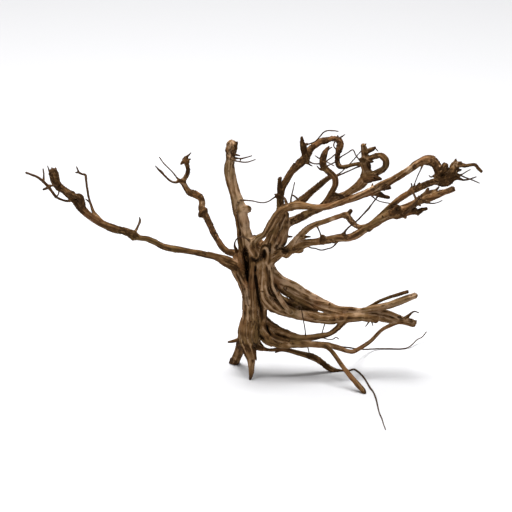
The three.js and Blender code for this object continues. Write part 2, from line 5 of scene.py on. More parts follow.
import bpy
import numpy as np
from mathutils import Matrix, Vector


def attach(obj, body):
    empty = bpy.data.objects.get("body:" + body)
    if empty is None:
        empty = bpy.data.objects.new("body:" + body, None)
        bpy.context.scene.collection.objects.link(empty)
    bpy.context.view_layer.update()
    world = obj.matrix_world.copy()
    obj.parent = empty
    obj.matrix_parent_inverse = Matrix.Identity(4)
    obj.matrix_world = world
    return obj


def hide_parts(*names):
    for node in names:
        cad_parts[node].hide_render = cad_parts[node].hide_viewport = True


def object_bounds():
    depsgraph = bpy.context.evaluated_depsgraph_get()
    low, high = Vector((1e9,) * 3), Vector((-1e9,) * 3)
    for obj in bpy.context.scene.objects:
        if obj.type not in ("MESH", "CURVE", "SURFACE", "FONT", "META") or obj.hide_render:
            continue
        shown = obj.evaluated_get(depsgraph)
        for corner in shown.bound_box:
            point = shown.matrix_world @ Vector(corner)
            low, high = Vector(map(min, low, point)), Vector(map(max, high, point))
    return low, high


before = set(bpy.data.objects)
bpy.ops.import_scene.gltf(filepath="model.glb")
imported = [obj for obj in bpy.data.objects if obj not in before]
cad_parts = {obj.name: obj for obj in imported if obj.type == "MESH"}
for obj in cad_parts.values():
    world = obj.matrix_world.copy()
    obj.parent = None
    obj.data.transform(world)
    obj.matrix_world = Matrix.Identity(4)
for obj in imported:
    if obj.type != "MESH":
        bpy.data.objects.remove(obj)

import openvdb
from bpy.props import FloatProperty, FloatVectorProperty, IntProperty, PointerProperty
from mathutils import Vector

bl_info = {
    "name": "Branched driftwood",
    "version": (1, 0, 0),
    "blender": (4, 5, 0),
    "location": "View3D > Sidebar > Driftwood",
    "description": "Builds a branched driftwood root with its twigs, hair roots and worn finish",
    "category": "Add Mesh",
}

CAD_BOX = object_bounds()
MM = 0.001

# The sketch of the routes, in millimetres, and its place in the wood's own frame
SKETCH_TILT = math.radians(20)  # above the horizon
TOWARD_VIEWER = np.array([0, -math.cos(SKETCH_TILT), math.sin(SKETCH_TILT)])
FOOTPRINT_MIDDLE = (-10, -20.5)  # across and back at the middle of the footprint
TRUNK_TOP = (-8, 150)  # across and up where the limbs leave the trunk
TRUNK_BACK = 15  # the depth of the trunk there
SPREAD = 0.9  # how much further apart in depth the limbs above the trunk reach at their ends
SPREAD_FROM = 20  # distance from the top of the trunk where they begin to spread
SPREAD_TO = 160  # distance where they are fully spread

# Each route is a limb's centre line. A point is across, up, back and the radius of the wood there:
# across and up as the sketch shows them, back the depth behind the front foot.
TRUNK = {
    "heartwood": [(-8, 178, 20, 10), (-8, 160, 20, 14), (-8, 135, 20, 15), (-9, 110, 20, 13.5),
        (-10, 85, 21, 13.5), (-11, 66, 22, 14), (-12, 52, 24, 9)],
    "front_leg": [(-33, 160, 15, 5), (-30, 142, 11, 6.5), (-22, 122, 9, 6.2), (-18.3, 100, 8, 6.3),
        (-17.9, 82, 8, 7.3), (-22, 64, 8, 9.5), (-21, 50, 7, 8.8), (-17, 38, 5, 7), (-14.5, 27, 3, 5),
        (-14, 17, 1.5, 4.1), (-14, 9, 0.7, 3.4), (-14.8, 4, 0.2, 2.2), (-15.6, 1, -0.3, 1.3),
        (-16, -2, -1, 0.8)],
    "front_rib": [(-17, 174, 10, 4.5), (-15, 155, 7, 6), (-14.5, 135, 6, 6.3), (-13.5, 115, 5.5, 6.3),
        (-12, 95, 6, 6.4), (-11, 75, 6, 7), (-9.5, 60, 7, 7.2), (-8, 49, 9, 4.6)],
    "right_rib": [(2, 104, 14, 6), (0, 86, 12, 6.4), (-1, 70, 12, 6.6), (-1, 57, 13, 4.8)],
    "crossing_strand": [(5, 162, 12, 6), (8, 153, 9, 4.4), (10.4, 143, 4.5, 3.4), (12.4, 130, 2, 3),
        (15.6, 119.6, 1, 2.9), (20.8, 110.5, 1.5, 2.9), (26, 102.7, 3.5, 3), (31.2, 94.9, 7, 3),
        (38, 87, 12, 2.5)],
    "inner_strand": [(2, 154, 9, 4), (4.6, 148, 4, 3), (5.9, 140, 1.5, 2.5), (6.9, 128, 0, 2.3),
        (8.4, 117, 0.5, 2.2), (13, 108, 2, 2.2), (19.5, 100, 5, 2.2), (27, 92, 10, 2)],
    "shoulder": [(-25, 160, 20, 6), (-34, 148, 15, 6), (-34, 138.6, 13, 5.4), (-28.4, 128, 12, 4.4),
        (-23, 112, 11, 3.4)],
    "back_left_leg": [(-24, 172, 30, 7), (-22, 152, 33, 9), (-18, 126, 33, 9.2), (-14.5, 100, 33, 9.2),
        (-17, 80, 34, 9.3), (-22, 63, 38, 8.4), (-25.4, 47, 46, 7.6), (-31, 33, 55, 7),
        (-36, 22.5, 61, 6.6), (-38.5, 13, 65, 5.6)],
    "back_rib": [(4, 174, 30, 7), (1, 152, 34, 9.5), (-2, 126, 37, 10), (-4, 100, 37, 10),
        (-5, 80, 35, 9.5), (-6, 62, 31, 7.5)],
    "eye_rim": [(-4, 152, 6, 2), (-2.4, 158, 3, 2), (-1.6, 165, 2, 1.9), (0, 171.2, 1.6, 2.1),
        (4, 174.4, 1.4, 2.4), (8.3, 171.3, 1.8, 2.5), (9.6, 164, 2.4, 2.5), (9, 156, 3.4, 2.3),
        (7, 148, 5, 2)],
    "rubbed_sliver": [(-23.4, 123, 4.5, 1.6), (-22.2, 117.5, 2.6, 2), (-20.2, 111, 1.8, 2.3),
        (-18.4, 103.5, 1.4, 2.2), (-17.4, 97, 2, 1.4)],
    "arm_web": [(5, 146, 20, 8), (10, 133, 20, 7.8), (15, 124, 21, 7), (18.5, 117, 22, 6)],
}

ROOTS = {
    "lower_right_arm": [(-1, 162, 9, 5.5), (0, 142, 7, 7.2), (0.5, 124, 7, 7.8), (3, 109, 9, 8.8),
        (12, 98.5, 13, 8.8), (26, 91.5, 18, 7.5), (42, 86.7, 21, 7), (60, 82.6, 23, 7.5),
        (78, 80.2, 24, 7.2), (96, 79.8, 25, 6.9), (115, 81, 26, 6.6), (135, 81.5, 27, 6),
        (155, 80.5, 28, 5), (172, 77.5, 30, 4), (186, 74.5, 31, 3.6), (197, 72, 32, 3.6)],
    "upper_right_arm": [(0, 168, 24, 9), (4, 152, 23, 9), (11.5, 140, 24, 8.4), (22, 129.5, 26, 7.4),
        (34, 123.5, 28, 6.8), (46, 116.5, 30, 6.5), (58, 109.8, 31, 6.2), (70, 104, 32, 5.7),
        (84, 97.8, 33, 5.4), (98, 92.4, 32, 5.1), (114, 90.6, 32, 4.9), (130, 89.4, 33, 4),
        (148, 88, 33, 4.2), (164, 85.5, 34, 4.6), (177, 80.5, 34, 4.4), (188, 76.5, 34, 4.4),
        (199, 73.5, 34, 4.2)],
    "under_strand": [(8, 136, 20, 6), (19, 122, 22, 5.2), (31, 113, 24, 4.3), (43, 106, 26, 4),
        (56, 100.2, 27, 3.4), (68, 95.3, 28, 3.2), (80, 91.5, 28, 3.4), (92, 88.2, 28, 3.8),
        (105, 86.4, 28, 4)],
    "shaded_strand": [(10, 116, 32, 6), (26, 102, 38, 5.8), (36.4, 98.6, 38, 6), (49.4, 95, 36, 5.6),
        (62, 92, 33, 4.4), (72, 89, 30, 3)],
    "arm_fork": [(126, 89, 31, 3.6), (142, 92.3, 28, 4.2), (155, 95, 27, 4.8), (166, 97.6, 26, 5.1),
        (178, 101.5, 25, 4.7), (190, 106, 24.3, 4.6), (201, 110, 23.5, 4.5)],
    "arm_fork_twig": [(132, 90, 33, 2.4), (143, 96.5, 34, 2.2), (152, 101.8, 34.5, 2.2),
        (162, 106, 35, 2.2), (174, 110, 35.5, 2.1), (184, 113, 36, 2.1), (191, 115, 36, 2.2)],
    "arm_tip_spur": [(184, 78, 34, 3.4), (190.5, 83, 33.5, 2.3), (195, 87, 33, 1.3), (199, 89, 32.5, 1),
        (204.5, 87, 32, 0.7)],
    "arm_underside_boss": [(142, 80, 26, 4.4), (150, 76.5, 24, 3.2)],
    "bow_root": [(-8, 88, 22, 7), (2, 77, 20, 7), (12, 69.5, 17, 6.6), (24, 62.8, 14, 6.1),
        (38, 57.6, 12, 5.4), (52, 54.6, 11, 4.7), (64, 54.8, 11, 4.3), (76, 56.5, 13, 3.9),
        (87, 59.5, 16, 3.5), (96, 65.5, 19, 3.6), (103, 72.5, 22, 3.9), (110, 80, 25, 4.4)],
    "long_root": [(-6, 74, 14, 6.5), (2.5, 61, 11, 7.6), (10, 53, 8.5, 8), (20, 47.6, 6, 6.8),
        (32, 45.3, 5, 5.7), (46, 45.8, 4, 4.8), (60, 46.4, 4, 4.1), (74, 46, 4, 3.9),
        (88, 44.4, 5, 3.6), (101, 40.8, 6, 3.4), (112, 37, 7, 3.2), (119, 36.7, 8, 3),
        (126, 40.2, 10, 2.8), (134, 45.3, 13, 2.7), (142, 51, 16, 2.6), (148, 57, 18, 2.6),
        (154, 63.5, 20, 2.6), (162, 68.5, 23, 2.5), (171, 72, 26, 2.5), (181, 76, 30, 2.4)],
    "long_root_strand": [(0, 80, 11, 4), (5, 68, 6, 3.2), (12, 59.5, 3, 2.9), (22, 54, 2, 2.6),
        (36, 50.5, 3.5, 2.2)],
    "prop_root": [(72, 45.8, 4, 3.4), (83, 43.2, 1.5, 3.3), (90, 38, -4, 3.1), (97, 28.5, -13, 3),
        (105, 17.5, -22, 3.2), (113, 7.5, -31, 3.4), (120, -1, -39, 3.4), (127, -9, -45.5, 3.5),
        (132, -15, -50, 3.2), (134, -20, -54, 2)],
    "rear_root": [(-12, 58, 24, 8), (-9.5, 46.8, 23, 6.6), (-4, 42.8, 23, 5.3), (2, 40.1, 24, 3.3),
        (9, 38.7, 25, 2.3), (18, 39, 26, 2.7), (30, 39, 26, 3.2), (45, 35.5, 27, 3.6),
        (57, 32.3, 28, 3.9), (68, 28, 29, 4.4), (78, 22.5, 29.5, 4.4), (87, 15.8, 30, 3.9),
        (94, 12, 30.5, 3.2), (101.5, 9.3, 31, 2.4)],
    "leg_stub": [(-24, 57, 29, 4.4), (-31, 52, 33, 3), (-38, 49.8, 36, 2.3), (-43.5, 49, 38, 1.6)],
    "leg_spur": [(-12.5, 42, 3.5, 4.6), (-11, 36, 2.4, 3.6), (-9.4, 31, 1.6, 2.6), (-8.1, 27.5, 1, 1.8),
        (-7.4, 25.6, 0.6, 0.9)],
    "rear_root_nib": [(24, 39, 25, 2.4), (17.5, 35.5, 23, 1)],
    "root_web": [(-4, 74, 24, 6), (5, 67, 22, 6.6), (14, 60, 18, 6.6), (24, 55, 15, 5.6),
        (34, 52, 12, 4.6), (47, 50.5, 9, 3.6)],
}

LEFT_ARMS = {
    "long_left_arm": [(-20, 134, 17, 8), (-30, 144, 13, 7.6), (-39, 149.5, 9, 7.2),
        (-49, 154.7, 5, 5.9), (-60, 159.6, 1, 4.6), (-78, 164.3, -3, 3.8), (-97, 167.7, -6, 3.9),
        (-113, 169.8, -8, 4.1), (-128, 173, -10, 3.7), (-140, 179.6, -12, 3.6), (-150, 183.6, -14, 3.6),
        (-160, 185.2, -15, 3.9), (-168, 189.3, -16, 5), (-178, 193.3, -17, 4.5),
        (-190, 196.3, -18, 4.5), (-203, 201.7, -19, 4.5), (-215, 208, -20, 4.8), (-226, 215.8, -21, 5),
        (-235, 224.5, -22, 6.1), (-240, 233, -22, 6.8), (-248, 239.5, -21, 5.8), (-256, 246, -20, 5),
        (-264, 252, -19, 5.6), (-268.5, 259.5, -18, 6.6), (-269.8, 266.5, -17, 6.8),
        (-270.8, 270.5, -17, 6)],
    "elbow_lobe": [(-251, 242.5, -23, 3.2), (-245.5, 241.3, -25, 3.8), (-240.3, 238.6, -26, 3.3),
        (-236.2, 237.4, -27, 4.3), (-232.8, 231, -26, 3.7), (-231, 224, -24, 3)],
    "outer_splinter": [(-273, 266, -17, 2), (-276, 273, -17, 1.1), (-277.8, 278, -17, 0.6)],
    "middle_splinter": [(-270, 268, -15, 1.8), (-272.5, 276, -15, 0.6)],
    "inner_splinter": [(-267, 266, -17, 2.4), (-267.3, 275, -17, 1.2)],
    "low_twig": [(-238, 233.5, -21, 3.4), (-246, 233.3, -21, 2.3), (-253, 232.2, -22, 1.6),
        (-260, 234.3, -24, 1.7), (-266.5, 237.8, -26, 1.8), (-272, 244.5, -28, 1.8),
        (-277, 251, -30, 2.2), (-283, 257.5, -32, 1.9), (-290, 262.8, -34, 1.7),
        (-298, 266.3, -36, 1.5), (-305, 268.8, -38, 1.5)],
    "low_twig_spur": [(-283, 257, -32, 1.7), (-282.5, 266, -31, 1.1), (-283.3, 274, -30, 0.9)],
    "low_twig_stub": [(-274, 251.5, -29, 1.8), (-279, 248.5, -32, 1.6), (-283, 247.3, -33, 1.3)],
    "low_twig_bridge": [(-261, 249, -19, 1.9), (-269, 251.8, -24, 1.3), (-277, 252.5, -30, 1.4)],
    "low_twig_link": [(-267.5, 237, -26, 1.3), (-263.8, 241, -24, 0.9), (-262.8, 248, -20, 1.1)],
    "rising_twig": [(-205, 203, -18, 3), (-213, 211.3, -18, 2.9), (-218.5, 218, -17, 2.4),
        (-221.5, 226, -15, 1.8), (-224.5, 236, -13, 1.5), (-226.5, 248, -11, 1.4),
        (-227.8, 258, -9, 1.5), (-229, 266.5, -8, 1.8), (-233, 267.3, -9, 1.5),
        (-237.5, 269.8, -10, 1.4), (-238.8, 273, -10, 1.1), (-240.3, 277, -10, 0.8)],
    "rising_twig_stub": [(-236, 269.2, -10, 1.3), (-241.3, 269.3, -11, 1)],
    "rising_twig_spur": [(-223, 230.5, -14, 1.2), (-228.7, 235, -15, 0.7)],
    "thorn": [(-167, 188, -16, 3), (-163.5, 194, -13, 1.7), (-160.5, 200.5, -12, 1.4),
        (-158.2, 206.5, -11, 1.6), (-158.8, 211.5, -11, 0.7)],
    "back_left_arm": [(-16, 146, 24, 8), (-25, 158, 25, 6.4), (-35, 164.5, 28, 5.3),
        (-45, 167, 32, 4.9), (-52, 173, 36, 4.9), (-57, 181, 39, 4.8), (-62, 190, 42, 4.7),
        (-66.7, 200, 45, 4.5), (-71.5, 210, 48, 4.5), (-76, 217.5, 51, 5.2), (-78.5, 223.5, 52, 4.3),
        (-77.7, 230, 53, 4), (-79.7, 236.7, 54, 4.4), (-87, 240.8, 55, 4.2), (-94, 244, 56, 4.1),
        (-98.7, 250, 57, 3.6), (-102.3, 256, 58, 3.6), (-104.5, 261, 58, 3.2)],
    "back_arm_knot": [(-75, 220, 50, 5), (-79, 215.8, 49, 4.6), (-81.3, 213.2, 48, 3)],
    "hook": [(-104, 257, 58, 3.2), (-100, 263, 58, 3.1), (-96.8, 269.5, 58, 3.3), (-96.5, 276, 58, 3.2),
        (-98.5, 282, 58, 3.5), (-100.5, 286, 58, 3.7), (-98.5, 289.5, 58, 2.6), (-96, 292, 58, 1.4),
        (-92.5, 295.7, 58, 0.6)],
    "hook_nib": [(-99, 286.5, 58, 2.2), (-93.3, 287.3, 58, 0.9)],
    "hook_lip": [(-98, 284, 57, 3.8), (-102, 284, 56, 2.8), (-105.3, 281.4, 56, 1.6)],
    "fork_low_twig": [(-102, 258, 57, 3.4), (-108, 259, 56, 2.9), (-112, 257, 55, 1.8),
        (-117, 257.6, 54, 1.6), (-122, 261, 53, 1.6), (-127, 266, 52, 1.6), (-131.5, 271, 51, 1.9),
        (-135, 274, 50, 1.4), (-138.8, 278.5, 49, 0.6)],
    "fork_high_twig": [(-107, 259.5, 56, 2), (-111, 263.5, 57, 1.2), (-116, 270, 59, 0.9),
        (-122.5, 276.5, 61, 0.85), (-128.5, 282.5, 63, 0.8), (-133.7, 290, 65, 0.6)],
    "loop_twig": [(-32, 166, 25, 2.6), (-35.5, 174, 20, 1.5), (-35.2, 179, 16, 1), (-32, 184, 12, 0.9),
        (-27, 186, 8, 0.9), (-21, 184.3, 4, 0.9), (-14, 179.5, 4, 1.3)],
    "arm_under_knob": [(-168, 189, -16, 4.8), (-166.5, 185.6, -16, 4.2)],
}

UPRIGHT = {
    "upright": [(-10, 148, 12, 8), (-13.5, 167, 11, 7.8), (-17.3, 182, 12, 7), (-21, 197, 14, 6.8),
        (-24.6, 212, 16, 7), (-29, 228, 18, 7.1), (-33.5, 244, 20, 6), (-38, 259, 22, 5.7),
        (-41, 272, 23, 5.9), (-41, 284, 24, 5.6), (-40.5, 294, 25, 6.2), (-39.5, 302, 26, 6.7),
        (-38.8, 307.5, 26, 6.8)],
    "upright_side": [(-25, 162, 16, 5.4), (-27, 178, 15, 4.6), (-29.4, 195, 16, 3.8),
        (-31.6, 210, 17, 3.6), (-34.8, 226, 19, 3.8), (-38.5, 241, 20, 3.8), (-43, 257, 22, 3.8),
        (-45.5, 270, 24, 4), (-46, 278, 24, 3.6), (-43.5, 286, 25, 3)],
    "upright_prong": [(-37.5, 294, 24, 4), (-35, 302, 24, 3.8), (-32.8, 309.6, 24, 2.2)],
    "upright_boss": [(-42, 295, 25, 4), (-46, 300, 25, 3)],
    "cut_stub": [(-28, 220, 16, 6), (-21, 222.3, 15, 4.7), (-16.4, 222.6, 14, 4.2)],
    "upper_twig": [(-38, 289, 24, 2), (-31, 287.8, 20, 1.1), (-27, 287.5, 18, 1.2),
        (-20, 289.3, 16, 0.9), (-13, 291.3, 14, 0.7)],
    "upper_twig_nib": [(-28, 288, 18, 1), (-28, 284.5, 18, 0.7)],
    "lower_twig": [(-38, 286, 22, 1.8), (-32, 284.3, 18, 1), (-26, 283, 15, 0.9), (-19, 283, 12, 0.8),
        (-13, 284.8, 9, 0.75), (-8.5, 286.5, 7, 0.6)],
    "top_nib": [(-38, 293.5, 23, 2.2), (-29, 291.5, 20, 0.9)],
    "bridge_twig": [(-29, 234, 15, 1.6), (-22, 233.5, 11, 1.1), (-13, 233, 8, 0.95), (-5, 231, 5, 0.9),
        (3, 230.5, 4, 0.9), (9, 232.5, 4, 0.9), (14, 236, 6, 1), (21, 240, 8, 1.5)],
}

CROWN = {
    "long_right_arm": [(-8, 166, 9, 7), (-10, 177, 6, 5.5), (-6, 184, 4, 4.2), (2, 188.3, 1, 4.1),
        (8, 195.5, -1, 4.5), (14, 204.5, -3, 4.8), (20.5, 214, -5, 5), (28, 221.5, -7, 5.3),
        (38, 225.3, -8, 5.2), (49, 227, -9, 4.9), (59, 225.7, -10, 4.3), (69, 224.2, -11, 4.1),
        (81, 224.8, -12, 4.2), (94, 227.8, -13, 4.5), (107, 232, -14, 4.6), (120, 236.3, -16, 4.5),
        (131, 240.2, -18, 4.4), (141, 244.5, -20, 4.8), (150, 249.5, -22, 5.4), (160, 254.8, -24, 5),
        (170, 260.3, -26, 4.6), (181, 267, -28, 4.4), (192, 274, -30, 4.5), (202, 281, -32, 5),
        (210, 285, -34, 5.8), (217, 285, -36, 6.4), (223.5, 281.5, -38, 6.2), (227, 274.5, -40, 5.8),
        (229.5, 267, -41, 6.2), (234, 260, -41, 6.5)],
    "stem_front": [(-2, 156, 12, 9), (5, 171, 10, 7.8), (12, 185, 7, 6.4), (18, 197.5, 4, 5.2),
        (23, 207.5, 1, 4.3), (28, 216, -3, 4)],
    "stem_back": [(6, 150, 22, 9), (14.5, 168, 16, 10), (23.5, 183, 13, 9), (27.5, 196, 10, 7.6),
        (30, 207, 7, 6), (31, 217, 3, 4.6)],
    "middle_limb": [(25, 194, 14, 7), (34, 203.5, 12, 6.6), (45, 208.3, 11, 5.8), (56, 214, 10, 5.6),
        (66, 219, 9, 5), (77, 224, 8, 4.8), (88, 231, 8, 5.8), (98, 236.5, 8, 5.2), (108, 241, 8, 4.5),
        (117, 246.5, 8, 5), (126, 253.5, 8, 5.7), (133, 262, 8, 6.2), (135.5, 271, 8, 6.1),
        (134.5, 281, 8, 5.7), (133.7, 291, 8, 4.8), (132.5, 299, 8, 4.2), (131.5, 305.5, 8, 3.8)],
    "limb_knob": [(133, 285, 7, 4), (128, 287, 3, 2.8)],
    "limb_knot": [(137, 261, 5, 5.4), (146, 262.5, 0, 4.2), (154, 261, -2, 1.7)],
    "limb_top_nib": [(132, 302, 8, 2.2), (135, 307, 8, 0.7)],
    "curl": [(134, 265, 8, 5.8), (143, 267, 6, 5), (150, 269.3, 4, 4.5), (157, 273.5, 2, 4.5),
        (161, 279.5, 0, 5), (160.6, 286.5, 0, 4.9), (156, 290.8, 1, 4.5), (150.5, 291.4, 3, 3.8),
        (145, 290, 5, 3.6), (137, 287.5, 8, 4)],
    "curl_stub": [(134, 295.5, 8, 3.6), (141.5, 299, 7, 2.9), (147.5, 302, 6, 2)],
    "curl_stub_nib": [(145.5, 303, 6, 1), (150.5, 297, 5, 0.6)],
    "curl_nib": [(138, 284.5, 7, 3), (144.3, 283.5, 4, 1.1)],
    "arching_branch": [(22, 210, 3, 5), (23.3, 222, 5, 4.6), (23.7, 233, 7, 4.6), (25, 243, 9, 4.2),
        (27.5, 252, 11, 4.1), (32, 260, 13, 4.3), (37, 268, 15, 4.6), (43, 275.5, 17, 4.9),
        (50, 281.5, 19, 5.3), (56, 288.5, 21, 5.5), (61, 296.5, 23, 5.2), (67, 303.5, 25, 4.8),
        (75, 308.8, 26, 4.3), (83, 311.3, 26, 3.8), (90, 312.8, 25, 2.7), (96, 313.5, 23, 2.6),
        (100, 311, 22, 3.8), (101.6, 305.5, 21, 4), (99.8, 299, 20, 3.7), (98, 292, 19, 3.3),
        (97.3, 284, 18, 3.2), (99.5, 278.3, 17, 3.2), (105, 276.8, 15, 2.8), (113, 278.4, 13, 2.4),
        (122, 280.3, 11, 2.4), (131, 281.5, 9, 2.8)],
    "arch_spike": [(24, 240, 8, 4), (22.5, 251, 8, 3.1), (22.8, 258, 8, 2.7), (23.5, 263.3, 8, 2.5)],
    "arch_knob": [(23, 237, 7, 3.6), (18, 240.5, 4, 2.4)],
    "arch_fork": [(58, 288, 21, 4.4), (54.5, 297, 20, 4.5), (53.2, 303, 19, 4.3), (52, 308.5, 18, 3),
        (51.4, 315.3, 18, 2)],
    "arch_fork_nib": [(53, 305, 19, 2.6), (59, 307, 18, 1.2)],
    "arch_whip": [(55, 304.5, 18, 1.6), (62, 307, 17, 0.95), (69, 310, 16, 0.95), (75, 316, 15, 0.9),
        (80, 321.5, 14, 0.9), (84, 323.7, 13, 0.9), (91, 324, 12, 1), (99, 322.8, 11, 0.7)],
    "arch_low_twig": [(57, 287, 21, 2.4), (62.5, 283, 18, 1.1), (68, 281, 15, 0.95),
        (78, 281.5, 4, 1.1)],
    "arch_low_stub": [(55, 284.5, 20, 3), (61.5, 280.3, 19, 1.2), (65.3, 278, 18, 0.8)],
    "arch_side_nib": [(46, 278, 17, 3), (40.8, 281.5, 16, 0.9)],
    "arch_back_nib": [(84, 310.5, 26, 3), (90.8, 316.5, 26, 1.2)],
    "arch_top_nib": [(99.5, 311, 22, 2.4), (98.3, 317.5, 22, 1.1)],
    "arch_end_twig": [(99, 313, 22, 1.8), (104, 316.5, 21, 1), (107.7, 319, 20, 0.6)],
    "arch_eye": [(97, 313.5, 23, 1.2), (93.2, 306.5, 20, 0.9), (93.8, 302.5, 19, 0.9),
        (98, 298, 19, 1.2)],
    "slim_upright": [(38, 224, -7, 2), (37.5, 233, -5, 1.1), (38.5, 240, -4, 0.95),
        (40.5, 248, -3, 0.9), (42.3, 256.8, -2, 0.7)],
    "slim_strut": [(38.4, 240.8, -4, 1), (42.5, 238.5, -5, 1.3), (46.5, 234.5, -6, 1.6),
        (50, 228.5, -8, 2.2)],
    "slim_stub": [(32, 225, -5, 2.6), (30.5, 234, -1, 1.5), (28, 237.3, 2, 1.3)],
    "straight_branch": [(38, 224, -6, 4.5), (49, 231, -2, 4.1), (58, 238.8, 0, 4.1), (67, 247, 3, 4.3),
        (76, 254.5, 6, 4), (84, 260.8, 9, 3.3), (91, 264.5, 11, 2.8), (97, 265.5, 12, 1.8),
        (103, 267.5, 12, 1.1), (112, 271.3, 11.5, 1), (121, 275.3, 11, 1), (132, 279.5, 9, 1.3)],
    "straight_whip": [(94, 264.5, 12, 1.4), (102, 269.5, 13, 0.8), (108, 275, 17, 0.75),
        (115, 282, 19, 0.75), (121, 288.5, 17, 0.75), (126, 294.5, 14, 0.75), (132, 301, 9, 1)],
    "zigzag_branch": [(72, 221, 4, 4.4), (80, 228.5, 0, 4.5), (86, 236.5, -2, 4), (91.5, 246, -3, 3.8),
        (95, 254.5, -3, 3.9), (94.5, 262, -3, 4.2), (89.5, 268, -2, 4.1), (84, 272.8, -1, 3.9),
        (80.3, 277.6, 0, 4.2), (79, 284.3, 1, 4.5), (80.3, 291, 2, 4.3), (83, 297.5, 3, 3.1),
        (86.8, 303.3, 4, 1.1)],
    "zigzag_low_twig": [(82, 274, -1, 2.4), (76.3, 273.3, -1, 1.6), (73.8, 275, -1, 1.1),
        (71.3, 278, -1, 0.8)],
    "zigzag_left_twig": [(79, 286.3, 1, 1.6), (74, 287.8, 0, 0.9), (68.8, 291.2, -1, 0.7)],
    "zigzag_right_twig": [(79, 283, 1, 1.6), (85, 285.5, 4, 0.8), (90, 289, 9, 0.8),
        (97.5, 295, 19, 1)],
    "zigzag_down_twig": [(79, 286, 1, 1.6), (86, 282, -2, 0.8), (93.7, 277.8, -4, 0.6)],
    "zigzag_cross_twig": [(81, 275.5, 0, 1.6), (87, 279, 6, 0.8), (97.5, 284.5, 18, 1)],
    "zigzag_top_nib": [(82, 297, 3, 1.6), (90.7, 302.3, 4, 0.7)],
    "zigzag_knot": [(90, 242, -3, 4), (95.5, 240.3, -2, 3.2), (103, 238.5, 3, 3.2)],
    "peak_twig": [(98, 286.5, 18, 1.8), (103.5, 290.5, 17, 0.9), (111, 295, 15, 0.85),
        (118, 299, 13, 0.9), (121, 293.5, 11, 0.85), (124, 288.5, 9, 0.9), (130, 282.5, 8, 1.6)],
    "low_fork": [(0, 144, 15, 9), (9, 155.5, 11, 8), (20, 163.6, 7, 6.2), (31, 168.8, 3, 5.4),
        (41, 171.5, 0, 6.8), (50, 175, -2, 6.4), (60, 178, -5, 4.9), (70, 179.5, -8, 4.7),
        (79, 181.3, -10, 5.2), (90, 183, -13, 4.4), (101, 185, -16, 4.5), (111, 185.3, -19, 4.7),
        (120, 187.5, -22, 4.6), (130, 193.5, -24, 4.4), (140, 199.8, -26, 4.8), (151, 206.5, -28, 5.4),
        (162, 212.5, -31, 5.6), (173, 217.5, -34, 6.2), (184, 222.5, -37, 5.6), (195, 228, -40, 4.9),
        (206, 232.8, -43, 4.9), (217, 236.8, -46, 5.2), (227, 240.6, -48, 4.2), (237, 244.3, -50, 3.6),
        (248, 248.3, -52, 3.5)],
    "fork_lobe": [(32, 169.5, 2, 5.4), (42, 170.5, 0, 5.6), (48.5, 169.4, -1, 4.8),
        (52, 169.6, -1, 3.4)],
    "light_branch": [(31, 164, 3, 6), (40, 175, 0, 5.6), (47, 184.5, -1, 4.7), (54, 192, -2, 4),
        (62, 198.2, -3, 3.7), (71, 202.7, -4, 3.5), (81, 206.2, -5, 3.3), (91, 209.7, -6, 3.2),
        (101, 213, -7, 3.3), (108.5, 214.8, -8, 3.8), (112.5, 211.3, -9, 3.8), (116, 206.3, -11, 3.7),
        (121, 201.2, -14, 3.5), (127.5, 198.7, -18, 3), (135, 200, -22, 2.8), (143, 204, -25, 3),
        (152, 208.5, -29, 3.5)],
    "light_branch_stub": [(108, 213, -8, 3.6), (114.5, 218.5, -8, 2.9), (116.3, 221.3, -8, 2.4)],
    "under_branch": [(138, 197, -26, 4.5), (149, 207, -27, 4.5), (158, 216, -28, 4.3),
        (167, 225.5, -29, 4.1), (177, 233.8, -30, 4), (188, 241, -32, 4.1), (199, 247.3, -34, 4.3),
        (210, 252.5, -36, 4.3), (221, 256.8, -38, 4.6), (233, 259.5, -41, 5.2)],
    "under_branch_boss": [(199, 248, -34, 3.4), (203.3, 254.7, -36, 1.8)],
    "under_branch_nib": [(191, 245, -33, 2.4), (194, 251.5, -33, 1.2), (193, 255.7, -33, 0.7)],
    "strut_twig": [(210, 284, -34, 2), (205.5, 273.5, -33, 0.85), (201, 264, -33, 0.8),
        (198, 256, -34, 0.85), (196, 248, -34, 1.6)],
    "elbow_hook": [(229, 268, -41, 2.4), (222.5, 265.5, -41, 1.2), (218.5, 263, -41, 1),
        (216, 265.3, -41, 0.8)],
    "knuckle": [(229, 262, -41, 6.8), (237, 262.5, -41, 7), (243, 266.5, -41, 6.6),
        (247, 272.5, -41, 6), (250.3, 278.5, -41, 5.2), (256, 279.3, -41, 3.7), (263, 277.8, -41, 2.6),
        (270, 279, -41, 2.4), (275.5, 279, -41, 2.4), (280, 274, -41, 2.3), (285, 269.5, -41, 1.9)],
    "knuckle_bump": [(230, 269, -41, 5), (235.5, 275.5, -42, 4.5), (237, 279.8, -42, 3.6)],
    "knuckle_peak": [(248.5, 278, -41, 4.2), (250.5, 286, -41, 1.5)],
    "knuckle_brow": [(251, 279, -41, 3.6), (256.8, 282.3, -41, 1.7)],
    "knuckle_cheek": [(247, 271, -41, 3.8), (256.8, 272.5, -41, 1.6)],
    "knuckle_low_twig": [(234, 257.5, -41, 5.6), (244, 260.8, -42, 4.1), (251, 262.8, -43, 3.2),
        (255, 261.2, -43, 2), (260, 259.4, -43, 1.3), (268, 260.4, -43, 1.1), (277, 263.5, -43, 0.8)],
    "knuckle_long_twig": [(248, 267, -42, 2.8), (257, 265.2, -42, 1.1), (264, 262.3, -41, 1),
        (273, 259, -40, 0.95), (281.3, 255.3, -39, 0.7)],
    "knuckle_high_twig": [(250, 265, -42, 1.6), (259, 267, -44, 0.85), (264, 270.3, -45, 0.8),
        (269.3, 273, -46, 0.6)],
